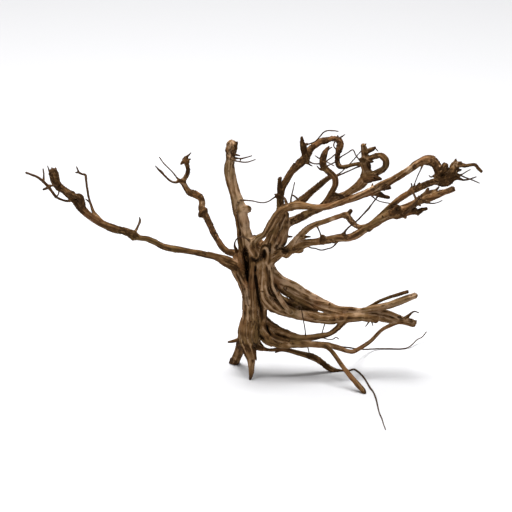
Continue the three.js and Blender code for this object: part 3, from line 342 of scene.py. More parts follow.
    "knuckle_lip": [(225, 256.5, -39, 3.8), (234, 252.7, -42, 2.4), (241, 253.5, -43, 1.8),
        (246, 255.7, -44, 1.1)],
    "tip_prong": [(194, 227, -40, 3.8), (204, 236, -41, 3.2), (211.5, 241.5, -43, 3.3),
        (214.7, 248, -43, 1.8)],
    "tip_second_prong": [(208, 239, -43, 3), (218.5, 243.3, -45, 2.9), (224, 245.5, -46, 2),
        (228.5, 250.3, -46, 1.2)],
    "tip_strand": [(184, 214, -39, 2.2), (191.5, 221, -44, 1.7), (197, 229, -47, 1.6),
        (203, 236.5, -46, 1.8)],
    "tip_low_branch": [(174, 213, -34, 4.8), (187, 216.8, -38, 4.3), (196, 218.5, -40, 4),
        (202, 217.5, -41, 3.6), (207.5, 220.8, -41, 3), (214, 222.5, -41, 2)],
    "tip_low_knot": [(195, 219, -41, 3), (200, 221.7, -44, 1.7)],
    "tip_low_boss": [(198, 219, -40, 3.2), (203.3, 214.2, -40, 2)],
    "tip_under_boss": [(182, 216, -38, 3.6), (185.7, 210.8, -38, 1.8)],
    "tip_knot": [(170, 217, -35, 5.6), (175.5, 222, -38, 4.6), (175, 227, -38, 2.3)],
    "tip_whip": [(211, 231, -45, 2), (219, 229.3, -46, 0.9), (226, 230, -47, 0.7),
        (233, 233, -48, 0.6)],
    "tip_under_nib": [(199, 231, -41, 2.6), (204.8, 226.3, -41, 1.2)],
    "tip_link": [(194, 246, -34, 2), (197, 239.5, -38, 1.4), (200, 232, -43, 1.8)],
    "arm_stub_high": [(150, 250.5, -22, 4.6), (159, 249.6, -23, 3.4), (166, 249.8, -24, 2.5)],
    "arm_stub_low": [(142, 245.5, -20, 4.6), (150, 241.5, -19, 3.7), (157, 238.8, -18, 2.8),
        (165.5, 237, -18, 1.9)],
    "arm_stub_nib": [(147, 243.5, -19, 3), (155, 242, -23, 1.6), (158.7, 239, -24, 1)],
    "arm_top_nib": [(142, 247, -20, 2.6), (143.3, 255, -19, 0.9)],
    "arm_side_nib": [(128, 238.5, -17, 2), (129.5, 245, -17, 0.9)],
    "under_whip": [(57, 178, -5, 2), (62.5, 172, -6, 1), (69, 171.2, -7, 0.9), (77, 168.8, -8, 0.9),
        (84, 170.2, -10, 0.9), (92, 173, -12, 0.9), (99.5, 182, -15, 1.6)],
    "drop_twig": [(70, 203, -4, 1.6), (73, 196.5, -6, 0.9), (75.5, 190.5, -8, 0.9),
        (78, 183, -10, 1.8)],
    "fork_knot": [(79, 181, -11, 5), (79, 187.3, -11, 3)],
    "dark_whip": [(99, 184, -15, 3.4), (106.5, 191, -17, 2), (109.5, 195.5, -17, 1.2),
        (115, 200.5, -15, 1.05), (123, 206.8, -12, 1.05), (131, 215, -13, 1.1), (138, 222.5, -15, 1.5),
        (142.5, 228.5, -17, 1), (150, 238.5, -19, 1.3)],
    "cross_whip": [(140, 242, -20, 1.8), (145, 236.5, -21, 0.8), (150, 233, -22, 0.75),
        (157, 230.8, -25, 0.75), (165, 229.4, -28, 0.75), (171, 228, -29, 1.5)],
    "stem_stub": [(27, 189, 14, 3), (35, 186.3, 12, 1.5), (39, 186.3, 11, 1.1)],
    "branch_stub": [(51, 184.5, -2, 3), (59, 186.2, -4, 1.4), (63, 186, -5, 0.9)],
}

HAIR_ROOTS = {
    "front_hair_root": [(88, 15.5, 30, 2.4), (98, 12.8, 31, 1.7), (107, 11.6, 31, 1.5),
        (114, 12, 32, 1.2), (119.5, 13.6, 36, 1.1), (125, 10.5, 27, 1.1), (131, 5.2, 12, 1.1),
        (136, -2, -9, 1.1), (140, -9, -30, 1.1), (145, -16, -50, 1.1), (148, -24, -73, 1.1),
        (150, -33, -99, 1), (152.5, -43, -128.5, 0.9), (155.5, -50, -149, 0.8), (157.5, -57, -169, 0.7),
        (160, -63.5, -188, 0.6)],
    "side_hair_root": [(94, 43, 6, 2.4), (105, 42.3, 16, 1.2), (112, 42, 30, 1), (120, 40.5, 50, 1),
        (128, 39.6, 75, 1), (138, 39, 98, 1), (150, 39.8, 111, 0.95), (165, 40, 113.5, 0.95),
        (180, 39.6, 113, 0.9), (190, 41, 116, 0.85), (197, 45.5, 124, 0.8), (203, 51.5, 134, 0.75),
        (209.5, 55, 139, 0.7), (215.5, 62, 147, 0.6)],
    "long_hair": [(44, 94, 16, 1.4), (50, 96.5, 11, 0.6), (52, 88, 9, 0.6), (54, 77, 8, 0.6),
        (56, 66, 8, 0.6), (57, 53, 10, 1)],
    "short_hair": [(83, 77, 21, 1.2), (80, 67, 17, 0.6), (77, 56, 13, 1)],
    "low_hair": [(58.5, 47, 3, 1), (60.5, 39, 0, 0.6), (62, 33, -2, 0.5)],
    "side_hair": [(76, 56, 13, 1.2), (86, 52.6, 8, 0.6), (93, 53, 5, 0.55), (96.5, 55.5, 4, 0.5),
        (100, 53, 3, 0.5)],
    "nub_hair": [(141, 78, 27, 1.6), (137, 72, 26, 0.7), (135, 69.3, 26, 0.5)],
    "second_nub_hair": [(142, 78, 27, 1.4), (144.7, 70.3, 27, 0.5)],
}

# Clefts and hollows of the trunk and the upright: across, up and half the width at each point
CLEFTS = [
    # depth, furthest back, path
    (8, 24, [(-8.8, 136.5, 1.5), (-7.8, 130, 2.1), (-6.5, 121, 1.9), (-5.2, 110.5, 1.5),
        (-3.4, 101.4, 1.3), (-1.2, 92.3, 0.9), (-0.6, 86, 0.4)]),
    (6, 24, [(-8.8, 147.5, 1.1), (-8.6, 142, 1.4)]),
    (6, 24, [(-21.5, 171, 2), (-21.5, 165, 3.6), (-19.8, 155, 3.6), (-18.6, 146, 3), (-19, 137, 2.6),
        (-19.2, 129, 1.2)]),
    (2.4, 24, [(-19.5, 142, 1.4), (-18.2, 131.8, 1.1), (-17.6, 118, 0.8), (-16.6, 104, 0.6)]),
    (1.6, 24, [(-32.5, 150, 0.6), (-31, 138.5, 0.8), (-27, 127, 0.9), (-23.5, 115.3, 0.9),
        (-21.6, 105.3, 1), (-21, 98, 0.5)]),
    (8, 24, [(2.8, 168.3, 1.8), (2.8, 164.3, 2.6), (2.6, 160.5, 2)]),
    (4, 24, [(-14, 159.5, 1), (-11, 156, 1.5), (-6.5, 155, 1.2), (-3, 158.5, 0.9)]),
    (3, 10, [(9.5, 143, 0.5), (9.8, 130, 0.8), (11, 121, 0.9), (14.3, 114, 0.9), (18.4, 107.5, 0.7)]),
    (3.5, 12, [(7.6, 121, 0.6), (10.6, 112, 1), (15.4, 105.2, 0.9), (21.5, 99.8, 0.6)]),
    (2.4, 19, [(17.4, 125, 0.9), (18.6, 119, 1.6), (19.6, 114.5, 0.9)]),
    (2.4, 60, [(-40.8, 300, 0.9), (-40.3, 296, 1.6), (-39.8, 292.5, 0.9)]),
    (1.5, 60, [(-35.8, 305, 0.5), (-35.4, 298, 0.8), (-34.8, 290, 0.6)]),
    (1.8, 30, [(-33.5, 226, 0.5), (-31, 212, 0.8), (-29, 198, 0.8), (-27.2, 187, 0.6)]),
    (2.6, 24, [(-0.9, 162, 0.5), (-0.6, 156, 0.6)]),
    (3.5, 24, [(28, 169, 2), (33, 167.6, 2.4)]),
    (3, 24, [(10.3, 178, 0.8), (10.3, 173, 1.1), (9.4, 166, 0.6)]),
    (1.7, 24, [(-15, 95, 0.5), (-14.6, 84, 0.7), (-14.1, 69.6, 0.6)]),
    (2, 24, [(-4.2, 74, 0.5), (-4.4, 67, 0.8), (-4.2, 60, 0.7)]),
    (4, 26, [(5.8, 71, 1), (8, 64, 1.4), (11.6, 58, 1)]),
    (3, 18, [(-2.6, 57.5, 1.2), (0.4, 55, 2), (2.6, 53, 1.2)]),
    (3.4, 20, [(-10.2, 47, 1.2), (-10, 43.5, 1.8), (-9.6, 41, 1.2)]),
    (2.2, 28, [(15, 126, 0.7), (18, 120, 1), (21.5, 114, 0.6)]),
]

# Old branch scars: across, up and back of the scar's middle, its radius and the radius of its pit
KNOTS = [
    (-77, 220, 51, 3.2, 1.6), (146, 262, 0, 3, 1.6), (175, 221, -38, 3, 1.8), (-263, 251, -20, 3, 1.8),
    (-241, 235, -23, 3.4, 1.6), (197, 222, -41, 2.4, 1.4), (233, 266, -41, 3.6, 2),
    (-30, 230, 16, 2.6, 1.4), (112, 240, 6, 2.6, 1.2), (60, 292, 19, 2.6, 1.4), (42, 171, -3, 2.8, 1.4),
    (150, 250, -23, 2.6, 1.4),
]

# Where bark and old scars leave the wood dark and knobbly, and some spots of painted shade: across, up and
# radius as the sketch shows them
BARK_AND_SHADE_SPOTS = [
    # the knuckle, the arm's end and the tip on the far right
    (226, 280, 9), (231, 270, 9), (221, 286, 6), (238, 270, 9), (231, 257, 8), (244, 263, 8),
    (251, 276, 6), (212, 256, 7), (199, 250, 5), (175, 263, 4), (196, 277, 3.5), (172, 222, 8),
    (183, 216, 6), (195, 221, 4.5), (204, 220, 4.5), (211, 222, 3.5), (216, 244, 4.5), (231, 243, 4.5),
    (244, 248, 5.5), (212, 230, 4.5), (203, 237, 4), (160, 251, 5), (157, 240, 5), (164, 237, 4),
    (143, 247, 3.5), (256, 281, 3), (263, 278, 3),
    # the middle limb's knot, the curl, the zigzag and the arching branch, and painted shade in the fork
    # above the trunk
    (147, 290, 5), (143, 280, 6), (148, 263, 6), (138, 299, 4), (147, 300, 4.5), (160, 270, 4.5),
    (134, 303, 3), (79, 289, 6), (78, 278, 5.5), (84, 300, 4), (73, 255, 6), (65, 247, 4.5),
    (84, 265, 4), (94, 240, 4), (103, 238, 3.5), (44, 282, 7), (56, 295, 7), (55, 305, 6), (52, 312, 4),
    (82, 311, 6), (97, 308, 7), (100, 296, 4.5), (97, 286, 4.5), (66, 304, 4.5), (22, 263, 4),
    (23, 252, 5), (21, 242, 7), (26, 230, 5), (34, 238, 4), (36, 230, 4), (29, 169, 6.5), (20, 173, 4),
    (49, 212, 6), (40, 205, 5), (62, 218, 4.5), (114, 220, 3), (114, 211, 5), (120, 204, 5),
    (79, 182, 5.5), (109, 187, 5.5), (91, 179, 4), (10, 174, 3),
    # the left arms and the upright
    (-272, 270, 8), (-268, 260, 6), (-263, 252, 5), (-244, 242, 6), (-237, 235, 7.5), (-231, 227, 5),
    (-240, 227, 5), (-181, 194, 5.5), (-172, 190, 4.5), (-165, 187, 5), (-101, 289, 4), (-94, 273, 4.5),
    (-90, 244, 5.5), (-78, 238, 4.5), (-77, 218, 6.5), (-82, 215, 5), (-71, 208, 4), (-65, 200, 5.5),
    (-60, 188, 5.5), (-74, 166, 3.5), (-40, 296, 7), (-34, 292, 5), (-42, 306, 6), (-35, 306, 6),
    (-36, 279, 4), (-41, 288, 4),
    # the trunk, the lower arms and the roots; some spots under the arms and low on the legs are painted
    # shade
    (-22, 166, 5), (-10, 156, 3), (-34, 146, 4), (-21, 136, 4), (-39, 24, 6), (-28, 45, 6),
    (-22, 39, 4), (-15.5, 3, 3.5), (197, 76, 6), (182, 81, 5), (101, 65, 4), (62, 32, 5), (82, 21, 6),
    (99, 12, 5), (132, -15, 3.5), (30, 119, 3), (37, 103, 6),
]

# Where the wood is rubbed pale
RUBBED_SPOTS = [
    (-27, 234, 8), (-22, 214, 8), (-18, 198, 7), (-14, 182, 6), (-35, 153, 4), (9, 169, 4),
    (-99, 266, 3.5), (-99, 256, 4.5), (-77, 229, 4), (49, 120, 8), (69, 107, 7), (30, 129, 6),
    (196, 111, 5), (49, 87, 7), (140, 251, 4), (251, 280, 3), (46, 181, 5), (-21, 112, 4),
    (-18, 102, 4), (24, 104, 4), (17, 116, 4), (150, 249, 4), (190, 273, 5), (92, 207, 4),
]

# How the body is cut from the routes
SAMPLE_STEP = 2.2
BAND = 3.6  # how far round the wood its distance is worked out
FINE_CELL = 0.8
THINNEST_SOLID = 1.15  # thinner wood isn't part of the body
TWIG_RADIUS = 1.5  # a limb is made as a twig from where it is thinner than this
BROKEN_RADIUS = 1.9  # a free end thicker than this is broken off, a thinner one is a point
CUT_FLAT = ("cut_stub",)  # limbs that end in a flat cut
THINNEST_TWIG = 0.72
BODY_TRIANGLES = 195000
CELL_SIZE = 9  # of the boxes that group the points of a surface
CELL_KEYS = 4096  # more boxes than any side of the wood holds
FAR = 1e3
SCATTER = (73856093, 19349663, 83492791, 2654435761, 2246822519, 3266489917)  # odd numbers, for the noise
OVAL = 0.07  # how far a limb's section is from round, as a share of its radius
NEAR_ROUNDS = (5, 12)  # of smoothing, which tell a narrow recess from the wood beside it
WIDE_ROUNDS = (20, 40)  # the same for a wide one
WIDE_SHARE = 0.45
CLEFT_FRONT = -12.0  # the depth that clefts are cut from
SPLINTER_WIDTH = 1.5
WIDEST_BLEND = 3.6  # of the rounded corner where a limb leaves another
MIX_WIDTH = 1.6  # how far from a seam the grains of two limbs mix
GRAIN_SHIFT = 37.0  # sets the patterns of one limb apart from the next one's
LIMB_SEED = 1000

# Lengths of the waves in which limbs bend, swell, turn and change their flutes, slow before quick
BEND_LENGTHS = (16, 7)
SWELL_LENGTHS = (13, 5.5)
TURN_LENGTH = 35
FLUTE_LENGTH = 28

# Patterns in the surface: how fine each is across and along the grain, per millimetre
FINE_FIBRES = (0.75, 0.75, 0.05)
COARSE_FIBRES = (0.34, 0.34, 0.028)
LUMPS = (0.16, 0.16, 0.06)
CRACK_LINES = (0.34, 0.34, 0.009)
CRACK_REGIONS = (0.1, 0.1, 0.016)
PITS = (0.36, 0.36, 0.2)
KINK_SCALE = 160  # of the twigs' kinks, per metre

# The stage, in metres
AIM = Vector((0.0022, 0.0205, 0.1715))  # what the camera and the lights point at
KEY_PLACE = (-0.15, 0.2, 2.4)
FILL_PLACE = (-1.6, -2.2, 1.6)
FILL_SIZE = 1.4
FLOOR_SIDES = 64
SENSOR_WIDTH = 36  # in millimetres
SKY_HEIGHTS = (0.03, 0.3)  # the sky darkens between these, from 0 at the horizon to 1 overhead


# Reading the routes

def spread_back(route):
    """The depths of a route's points with the limbs above the trunk drawn apart."""
    distance = np.hypot(route[:, 0] - TRUNK_TOP[0], route[:, 1] - TRUNK_TOP[1])
    share = np.clip((distance - SPREAD_FROM) / (SPREAD_TO - SPREAD_FROM), 0, 1)
    share = share * share * (3 - 2 * share)
    return route[:, 2] + SPREAD * share * (route[:, 2] - TRUNK_BACK)


def placed(sketch):
    """Sketch points of across, up and back, in the wood's own frame in millimetres."""
    across, up, back = sketch[:, 0], sketch[:, 1], sketch[:, 2]
    height = (up - back * math.sin(SKETCH_TILT)) / math.cos(SKETCH_TILT)
    return np.stack([across - FOOTPRINT_MIDDLE[0], back - FOOTPRINT_MIDDLE[1], height], axis=1)


def sketched(x, y, z):
    """Across, up and back of places in the wood's own frame."""
    across = x + FOOTPRINT_MIDDLE[0]
    back = y + FOOTPRINT_MIDDLE[1]
    up = z * math.cos(SKETCH_TILT) + back * math.sin(SKETCH_TILT)
    return across, up, back


def knot_place(across, up, back):
    """The place of a scar on a limb above the trunk."""
    point = np.array([[across, up, back]], float)
    point[:, 2] = spread_back(point)
    return placed(point)[0]


def smooth_curve(points, radii, steps=14):
    """A centripetal Catmull-Rom curve through the points, with the radii that go with it."""
    ends = np.vstack([2 * points[0] - points[1], points, 2 * points[-1] - points[-2]])
    share = np.linspace(0, 1, steps, endpoint=False)[:, None]
    spans, widths = [], []
    for first in range(len(points) - 1):
        before, here, there, after = ends[first:first + 4]
        lead = max(np.linalg.norm(here - before), 1e-6) ** 0.5
        middle = max(np.linalg.norm(there - here), 1e-6) ** 0.5
        trail = max(np.linalg.norm(after - there), 1e-6) ** 0.5
        leaving = (here - before) / lead - (there - before) / (lead + middle) + (there - here) / middle
        arriving = (there - here) / middle - (after - here) / (middle + trail) + (after - there) / trail
        leaving, arriving = leaving * middle, arriving * middle
        square = -3 * here + 3 * there - 2 * leaving - arriving
        cube = 2 * here - 2 * there + leaving + arriving
        spans.append(here + leaving * share + square * share ** 2 + cube * share ** 3)
        widths.append(radii[first] + (radii[first + 1] - radii[first]) * share[:, 0])
    return np.vstack([*spans, points[-1:]]), np.concatenate([*widths, radii[-1:]])


def cross_axes(tangents):
    """Two axes across the curve at each sample, turned as little as possible along it."""
    start = np.cross(tangents[0], (0.0, 0.0, 1.0) if abs(tangents[0][2]) < 0.9 else (1.0, 0.0, 0.0))
    axis = start / np.linalg.norm(start)
    firsts = []
    for tangent in tangents:
        axis = axis - tangent * axis.dot(tangent)
        axis = axis / np.linalg.norm(axis)
        firsts.append(axis)
    firsts = np.array(firsts)
    return firsts, np.cross(tangents, firsts)


class Limb:
    """A limb's centre line, sampled evenly, with its radii, arc lengths, cross axes and character."""

    def __init__(self, name, group, route, number):
        route = np.array(route, float)
        if group in SPREAD_GROUPS:
            route[:, 2] = spread_back(route)
        draw = np.random.default_rng(LIMB_SEED + number)
        points, radii = smooth_curve(placed(route[:, :3]), route[:, 3])
        arcs = np.concatenate([[0], np.cumsum(np.linalg.norm(np.diff(points, axis=0), axis=1))])
        count = max(3, int(round(arcs[-1] / SAMPLE_STEP)) + 1)
        self.arcs = np.linspace(0, arcs[-1], count)
        self.radii = np.interp(self.arcs, arcs, radii)
        self.points = np.stack([np.interp(self.arcs, arcs, points[:, i]) for i in range(3)], axis=1)
        self.name, self.group, self.number = name, group, number
        self.length = arcs[-1]
        self.wander()
        tangents = np.gradient(self.points, axis=0)
        self.tangents = tangents / np.linalg.norm(tangents, axis=1)[:, None]
        self.first_axis, self.second_axis = cross_axes(self.tangents)
        self.lobes = int(draw.integers(3, 6)) if self.radii.mean() > 3 else int(draw.integers(2, 5))
        self.turns = draw.uniform(0, 6.28) + draw.choice([-1, 1]) * draw.uniform(0.006, 0.022) * self.arcs
        self.turns = self.turns + 0.5 * drift(self.arcs / TURN_LENGTH, number + 0.3)
        self.flutes = np.clip(0.5 + 0.7 * drift(self.arcs / FLUTE_LENGTH, number + 0.7), 0.1, 1.1)
        self.tone = TONES_WITH_PAINTED_SHADE.get(name, draw.uniform(-0.6, 0.0))

    def wander(self):
        """Small bends and swellings that the route's points are too far apart to hold."""
        ease = np.clip(np.minimum(self.arcs, self.length - self.arcs) / 8, 0, 1)
        size = np.clip(self.radii, 1, 6)
        for axis in range(3):
            slow = drift(self.arcs / BEND_LENGTHS[0], self.number + 0.11 * axis)
            quick = drift(self.arcs / BEND_LENGTHS[1], self.number + 0.5 * axis)
            self.points[:, axis] += 0.1 * size * ease * (slow + 0.5 * quick)
        swell = 0.11 * drift(self.arcs / SWELL_LENGTHS[0], self.number + 0.9)
        swell += 0.07 * drift(self.arcs / SWELL_LENGTHS[1], self.number + 0.2)
        self.radii = self.radii * (1 + swell * ease)


def drift(places, seed):
    """Smooth noise from -1 to 1 along a line."""
    points = np.stack([places, np.full_like(places, seed * 7.31), np.full_like(places, seed * 3.77)], axis=1)
    return lattice_noise(points)


def lattice_noise(points, seed=0):
    """Smooth noise from -1 to 1 at points, with one random value at each whole place."""
    cells = np.floor(points).astype(np.int64)
    part = (points - cells).astype(np.float32)
    part = part * part * (3 - 2 * part)
    total = np.zeros(len(points), np.float32)
    by_first, by_second, by_third, by_seed, stir, stir_again = SCATTER
    for corner in product((0, 1), repeat=3):
        key = (cells[:, 0] + corner[0]) * by_first ^ (cells[:, 1] + corner[1]) * by_second
        key = key ^ (cells[:, 2] + corner[2]) * by_third ^ (seed * by_seed + 12345)
        key = (key ^ (key >> 15)) * stir & 0xFFFFFFFF
        key = (key ^ (key >> 13)) * stir_again & 0xFFFFFFFF
        value = ((key ^ (key >> 16)) & 0xFFFF).astype(np.float32) / 32767.5 - 1
        weight = np.ones(len(points), np.float32)
        for axis in range(3):
            weight = weight * (part[:, axis] if corner[axis] else 1 - part[:, axis])
        total += weight * value
    return total


# How pale each limb is, from -1, dark, to 1, rubbed pale. The dark tones of the left arms are painted shade
# for the weaker light there, and those of the shaded strand and the webs paint the shade they lie in
TONES_WITH_PAINTED_SHADE = {
    "upright": 1.0, "upright_side": -0.2, "upper_right_arm": 0.8, "lower_right_arm": 0.5,
    "arm_fork": 0.6, "stem_back": 0.8, "stem_front": 0.1, "eye_rim": 0.9, "rubbed_sliver": 1.6,
    "root_web": -0.7, "arm_web": -0.6, "arm_fork_twig": -1, "light_branch": 0.3, "middle_limb": 0.1,
    "long_right_arm": 0, "low_fork": 0.1, "arching_branch": -0.5, "arch_spike": -0.9, "arch_fork": -0.8,
    "arch_knob": -0.8, "zigzag_branch": -0.4, "straight_branch": -0.5, "curl": -0.35, "limb_knot": -1,
    "limb_knob": -0.6, "arm_stub_low": -0.8, "arm_stub_high": -0.8, "arm_stub_nib": -0.9,
    "tip_low_branch": -0.6, "tip_knot": -0.8, "knuckle": -0.2, "knuckle_low_twig": -0.7,
    "knuckle_bump": -0.4, "hook": -0.7, "hook_lip": -0.8, "back_arm_knot": -0.8, "elbow_lobe": -0.6,
    "low_twig": -0.6, "long_left_arm": -0.55, "back_left_arm": -0.6, "shaded_strand": -0.8,
    "under_strand": 0.1, "rear_root": -0.5, "prop_root": -0.1, "bow_root": 0.1, "long_root": 0.25,
    "heartwood": 0.1, "front_leg": 0.2, "front_rib": 0.15, "right_rib": 0.1, "crossing_strand": 1.1,
    "inner_strand": 0.9, "shoulder": 0.1, "back_left_leg": -0.3, "cut_stub": 0.2, "dark_whip": -1,
    "knuckle_long_twig": -0.9, "fork_lobe": 0.1, "under_branch": -0.1,
}

SPREAD_GROUPS = ("left_arms", "upright", "crown")
GROUPS = {"trunk": TRUNK, "roots": ROOTS, "left_arms": LEFT_ARMS, "upright": UPRIGHT, "crown": CROWN,
    "hair_roots": HAIR_ROOTS}


def grown_limbs():
    """Every limb of the wood, each knowing where it leaves the others and whether its tip is free."""
    limbs = []
    for group, routes in GROUPS.items():
        for name, route in routes.items():
            limbs.append(Limb(name, group, route, len(limbs)))
    spans = Spans(limbs)
    for limb in limbs:
        others = spans.limb_of != limb.number
        cover = spans.distances(limb.points, others).min(axis=1)
        outside = np.nonzero(cover > 0)[0]
        limb.leaves = limb.arcs[outside[0]] if len(outside) else limb.length
        limb.tip_free = cover[-1] > -0.3 * limb.radii[-1]
        limb.broken = bool(limb.tip_free and limb.radii[-1] >= BROKEN_RADIUS)
    return limbs


class Spans:
    """All straight spans of all limbs, for finding the wood nearest to a point."""

    def __init__(self, limbs):
        self.limbs = limbs
        self.start = np.vstack([limb.points[:-1] for limb in limbs])
        self.reach = np.vstack([np.diff(limb.points, axis=0) for limb in limbs])
        self.square = (self.reach ** 2).sum(axis=1)
        self.thick = np.concatenate([limb.radii[:-1] for limb in limbs])
        self.thicker = np.concatenate([np.diff(limb.radii) for limb in limbs])
        self.limb_of = np.concatenate([np.full(len(limb.points) - 1, limb.number) for limb in limbs])
        self.sample = np.concatenate([np.arange(len(limb.points) - 1) for limb in limbs])

    def shares(self, points, chosen):
        """How far along each chosen span the point nearest to each point lies."""
        along = points @ self.reach[chosen].T - (self.start[chosen] * self.reach[chosen]).sum(axis=1)
        return np.clip(along / self.square[chosen], 0, 1)

    def distances(self, points, chosen):
        """Distance from each point to the surface of each chosen span."""
        share = self.shares(points, chosen)
        start, reach = self.start[chosen], self.reach[chosen]
        square = (points ** 2).sum(axis=1)[:, None] - 2 * points @ start.T + (start ** 2).sum(axis=1)
        dot = points @ reach.T - (start * reach).sum(axis=1)
        square = square - 2 * share * dot + share ** 2 * self.square[chosen]
        return np.sqrt(np.maximum(square, 0)) - self.thick[chosen] - share * self.thicker[chosen]


# The body as a field of distances

class Field:
    """Distances to the wood's surface on a grid, negative inside the wood."""

    def __init__(self, low, high, cell):
        self.cell = cell
        self.low = np.floor((np.array(low) - BAND - 2 * cell) / cell) * cell
        self.size = np.ceil((np.array(high) + BAND + 2 * cell - self.low) / cell).astype(int)
        self.values = np.full(self.size, BAND, np.float32)

    def box(self, low, high):
        """The grid's slices that cover a box, and its places along each axis."""
        first = np.maximum(np.floor((low - self.low) / self.cell).astype(int), 0)
        last = np.minimum(np.ceil((high - self.low) / self.cell).astype(int) + 1, self.size)
        slices = tuple(slice(int(f), int(l)) for f, l in zip(first, last))
        places = [(origin + self.cell * np.arange(f, l)).astype(np.float32)
            for origin, f, l in zip(self.low, first, last)]
        return slices, places

    def add_limb(self, limb, settings):
        """Works out the distances round a limb, span by span, and joins it to the wood."""
        solid = limb.radii >= THINNEST_SOLID
        if not solid[:-1].any():
            return
        reach = limb.radii * 1.12 + BAND
        low = (limb.points - reach[:, None])[solid].min(axis=0)
        high = (limb.points + reach[:, None])[solid].max(axis=0)
        slices, _ = self.box(low, high)
        corner = np.array([s.start for s in slices])
        shape = [s.stop - s.start for s in slices]
        near = np.full(shape, BAND, np.float32)
        blend = np.full(shape, settings.crease, np.float32)
        blends = blend_along(limb, settings)
        last = len(limb.points) - 2
        for i in range(last + 1):
            if not (solid[i] or solid[i + 1]):
                continue
            margin = max(reach[i], reach[i + 1])
            ends = limb.points[i:i + 2]
            part, places = self.box(ends.min(axis=0) - margin, ends.max(axis=0) + margin)
            local = tuple(slice(s.start - c, s.stop - c) for s, c in zip(part, corner))
            local = tuple(slice(max(s.start, 0), min(s.stop, n)) for s, n in zip(local, shape))
            x, y, z = [place[s.start + c - q.start:s.stop + c - q.start]
                for place, s, c, q in zip(places, local, corner, part)]
            value, along = span_field(limb, i, i == last, x, y, z, settings)
            closer = value < near[local]
            near[local] = np.where(closer, value, near[local])
            blend[local] = np.where(closer, blends[i] + (blends[i + 1] - blends[i]) * along, blend[local])
        self.merge(slices, near, blend)

    def merge(self, slices, near, blend):
        """Joins a limb to the wood with a rounded inner corner."""
        before = self.values[slices]
        corner = np.maximum(blend - np.abs(before - near), 0) / blend
        self.values[slices] = np.minimum(before, near) - corner * corner * blend / 4

    def carve_cleft(self, depth, furthest, path):
        """Cuts a narrowing cleft into the front of the wood along a path of the sketch."""
        path = np.array(path, float)
        width = path[:, 2].max()
        wide = width + 2
        across_ends = (path[:, 0].min() - wide, path[:, 0].max() + wide)
        up_ends = (path[:, 1].min() - wide, path[:, 1].max() + wide)
        corners = placed(np.array(list(product(across_ends, up_ends, (CLEFT_FRONT, furthest))), float))
        slices, places = self.box(corners.min(axis=0), corners.max(axis=0))
        x, y, z = np.meshgrid(*places, indexing="ij", sparse=True)
        across, up, back = sketched(x, y, z)
        wobble = 0.5 * np.sin(up / 3.1) + 0.35 * np.sin(up / 1.3 + 2)
        gap = beside_path(across, up, path, 0.4 * wobble)
        inside = self.values[slices]
        sunk = np.clip(-inside / depth, 0, 1)
        hole = np.maximum(gap + 0.75 * width * sunk * sunk, -inside - depth)
        hole = np.maximum(hole, back - furthest)
        self.values[slices] = np.maximum(inside, -hole)

    def add_knot(self, across, up, back, radius, pit):
        """A swollen ring round an old branch scar, with a pit in its middle."""
        middle = knot_place(across, up, back)
        reach = radius + BAND
        slices, places = self.box(middle - reach - 4, middle + reach + 4)
        x, y, z = np.meshgrid(*places, indexing="ij", sparse=True)
        ball = np.sqrt((x - middle[0]) ** 2 + (y - middle[1]) ** 2 + (z - middle[2]) ** 2)
        self.merge(slices, (ball - radius).astype(np.float32), np.full(ball.shape, 2.2, np.float32))
        mouth = middle + TOWARD_VIEWER * (radius + 0.4)
        bowl = np.sqrt((x - mouth[0]) ** 2 + (y - mouth[1]) ** 2 + (z - mouth[2]) ** 2) - pit
        self.values[slices] = np.maximum(self.values[slices], -bowl)

    def cut_ground(self):
        """Cuts the feet level with the ground."""
        height = (self.low[2] + self.cell * np.arange(self.size[2])).astype(np.float32)
        self.values = np.maximum(self.values, -height[None, None, :])

    def surface(self):
        """The grid's surface as points and quads, with scraps and sealed hollows left out."""
        grid = openvdb.FloatGrid(BAND)
        grid.copyFromArray(self.values)
        points, quads = grid.convertToQuads(isovalue=0.0)
        points = np.array(points, np.float64) * self.cell + self.low
        quads = np.array(quads, np.int64)[:, ::-1]
        return largest_part(points, quads)


def beside_path(across, up, path, wobble=0.0):
    """Distance beside a path of the sketch that widens and narrows, negative inside it."""
    gap = FAR
    for (a0, u0, w0), (a1, u1, w1) in zip(path[:-1], path[1:]):
        da, du = a1 - a0, u1 - u0
        share = np.clip(((across - a0) * da + (up - u0) * du) / (da * da + du * du), 0, 1)
        beside = np.hypot(across - a0 - share * da + wobble, up - u0 - share * du)
        gap = np.minimum(gap, beside - w0 - share * (w1 - w0))
    return gap


def blend_along(limb, settings):
    """How wide the rounded corner is at each sample: wide where the limb leaves, narrow elsewhere."""
    if limb.group == "trunk":
        return np.full(len(limb.arcs), settings.crease)
    leaving = np.interp(limb.leaves, limb.arcs, limb.radii)
    wide = min(0.55 * leaving, WIDEST_BLEND)
    near = np.clip(1.4 - np.abs(limb.arcs - limb.leaves) / (2.2 * leaving), 0, 1)
    if not limb.tip_free:
        near = np.maximum(near, np.clip(1 - (limb.length - limb.arcs) / (3 * limb.radii[-1]), 0, 1))
    return settings.crease + (max(wide, settings.crease) - settings.crease) * near


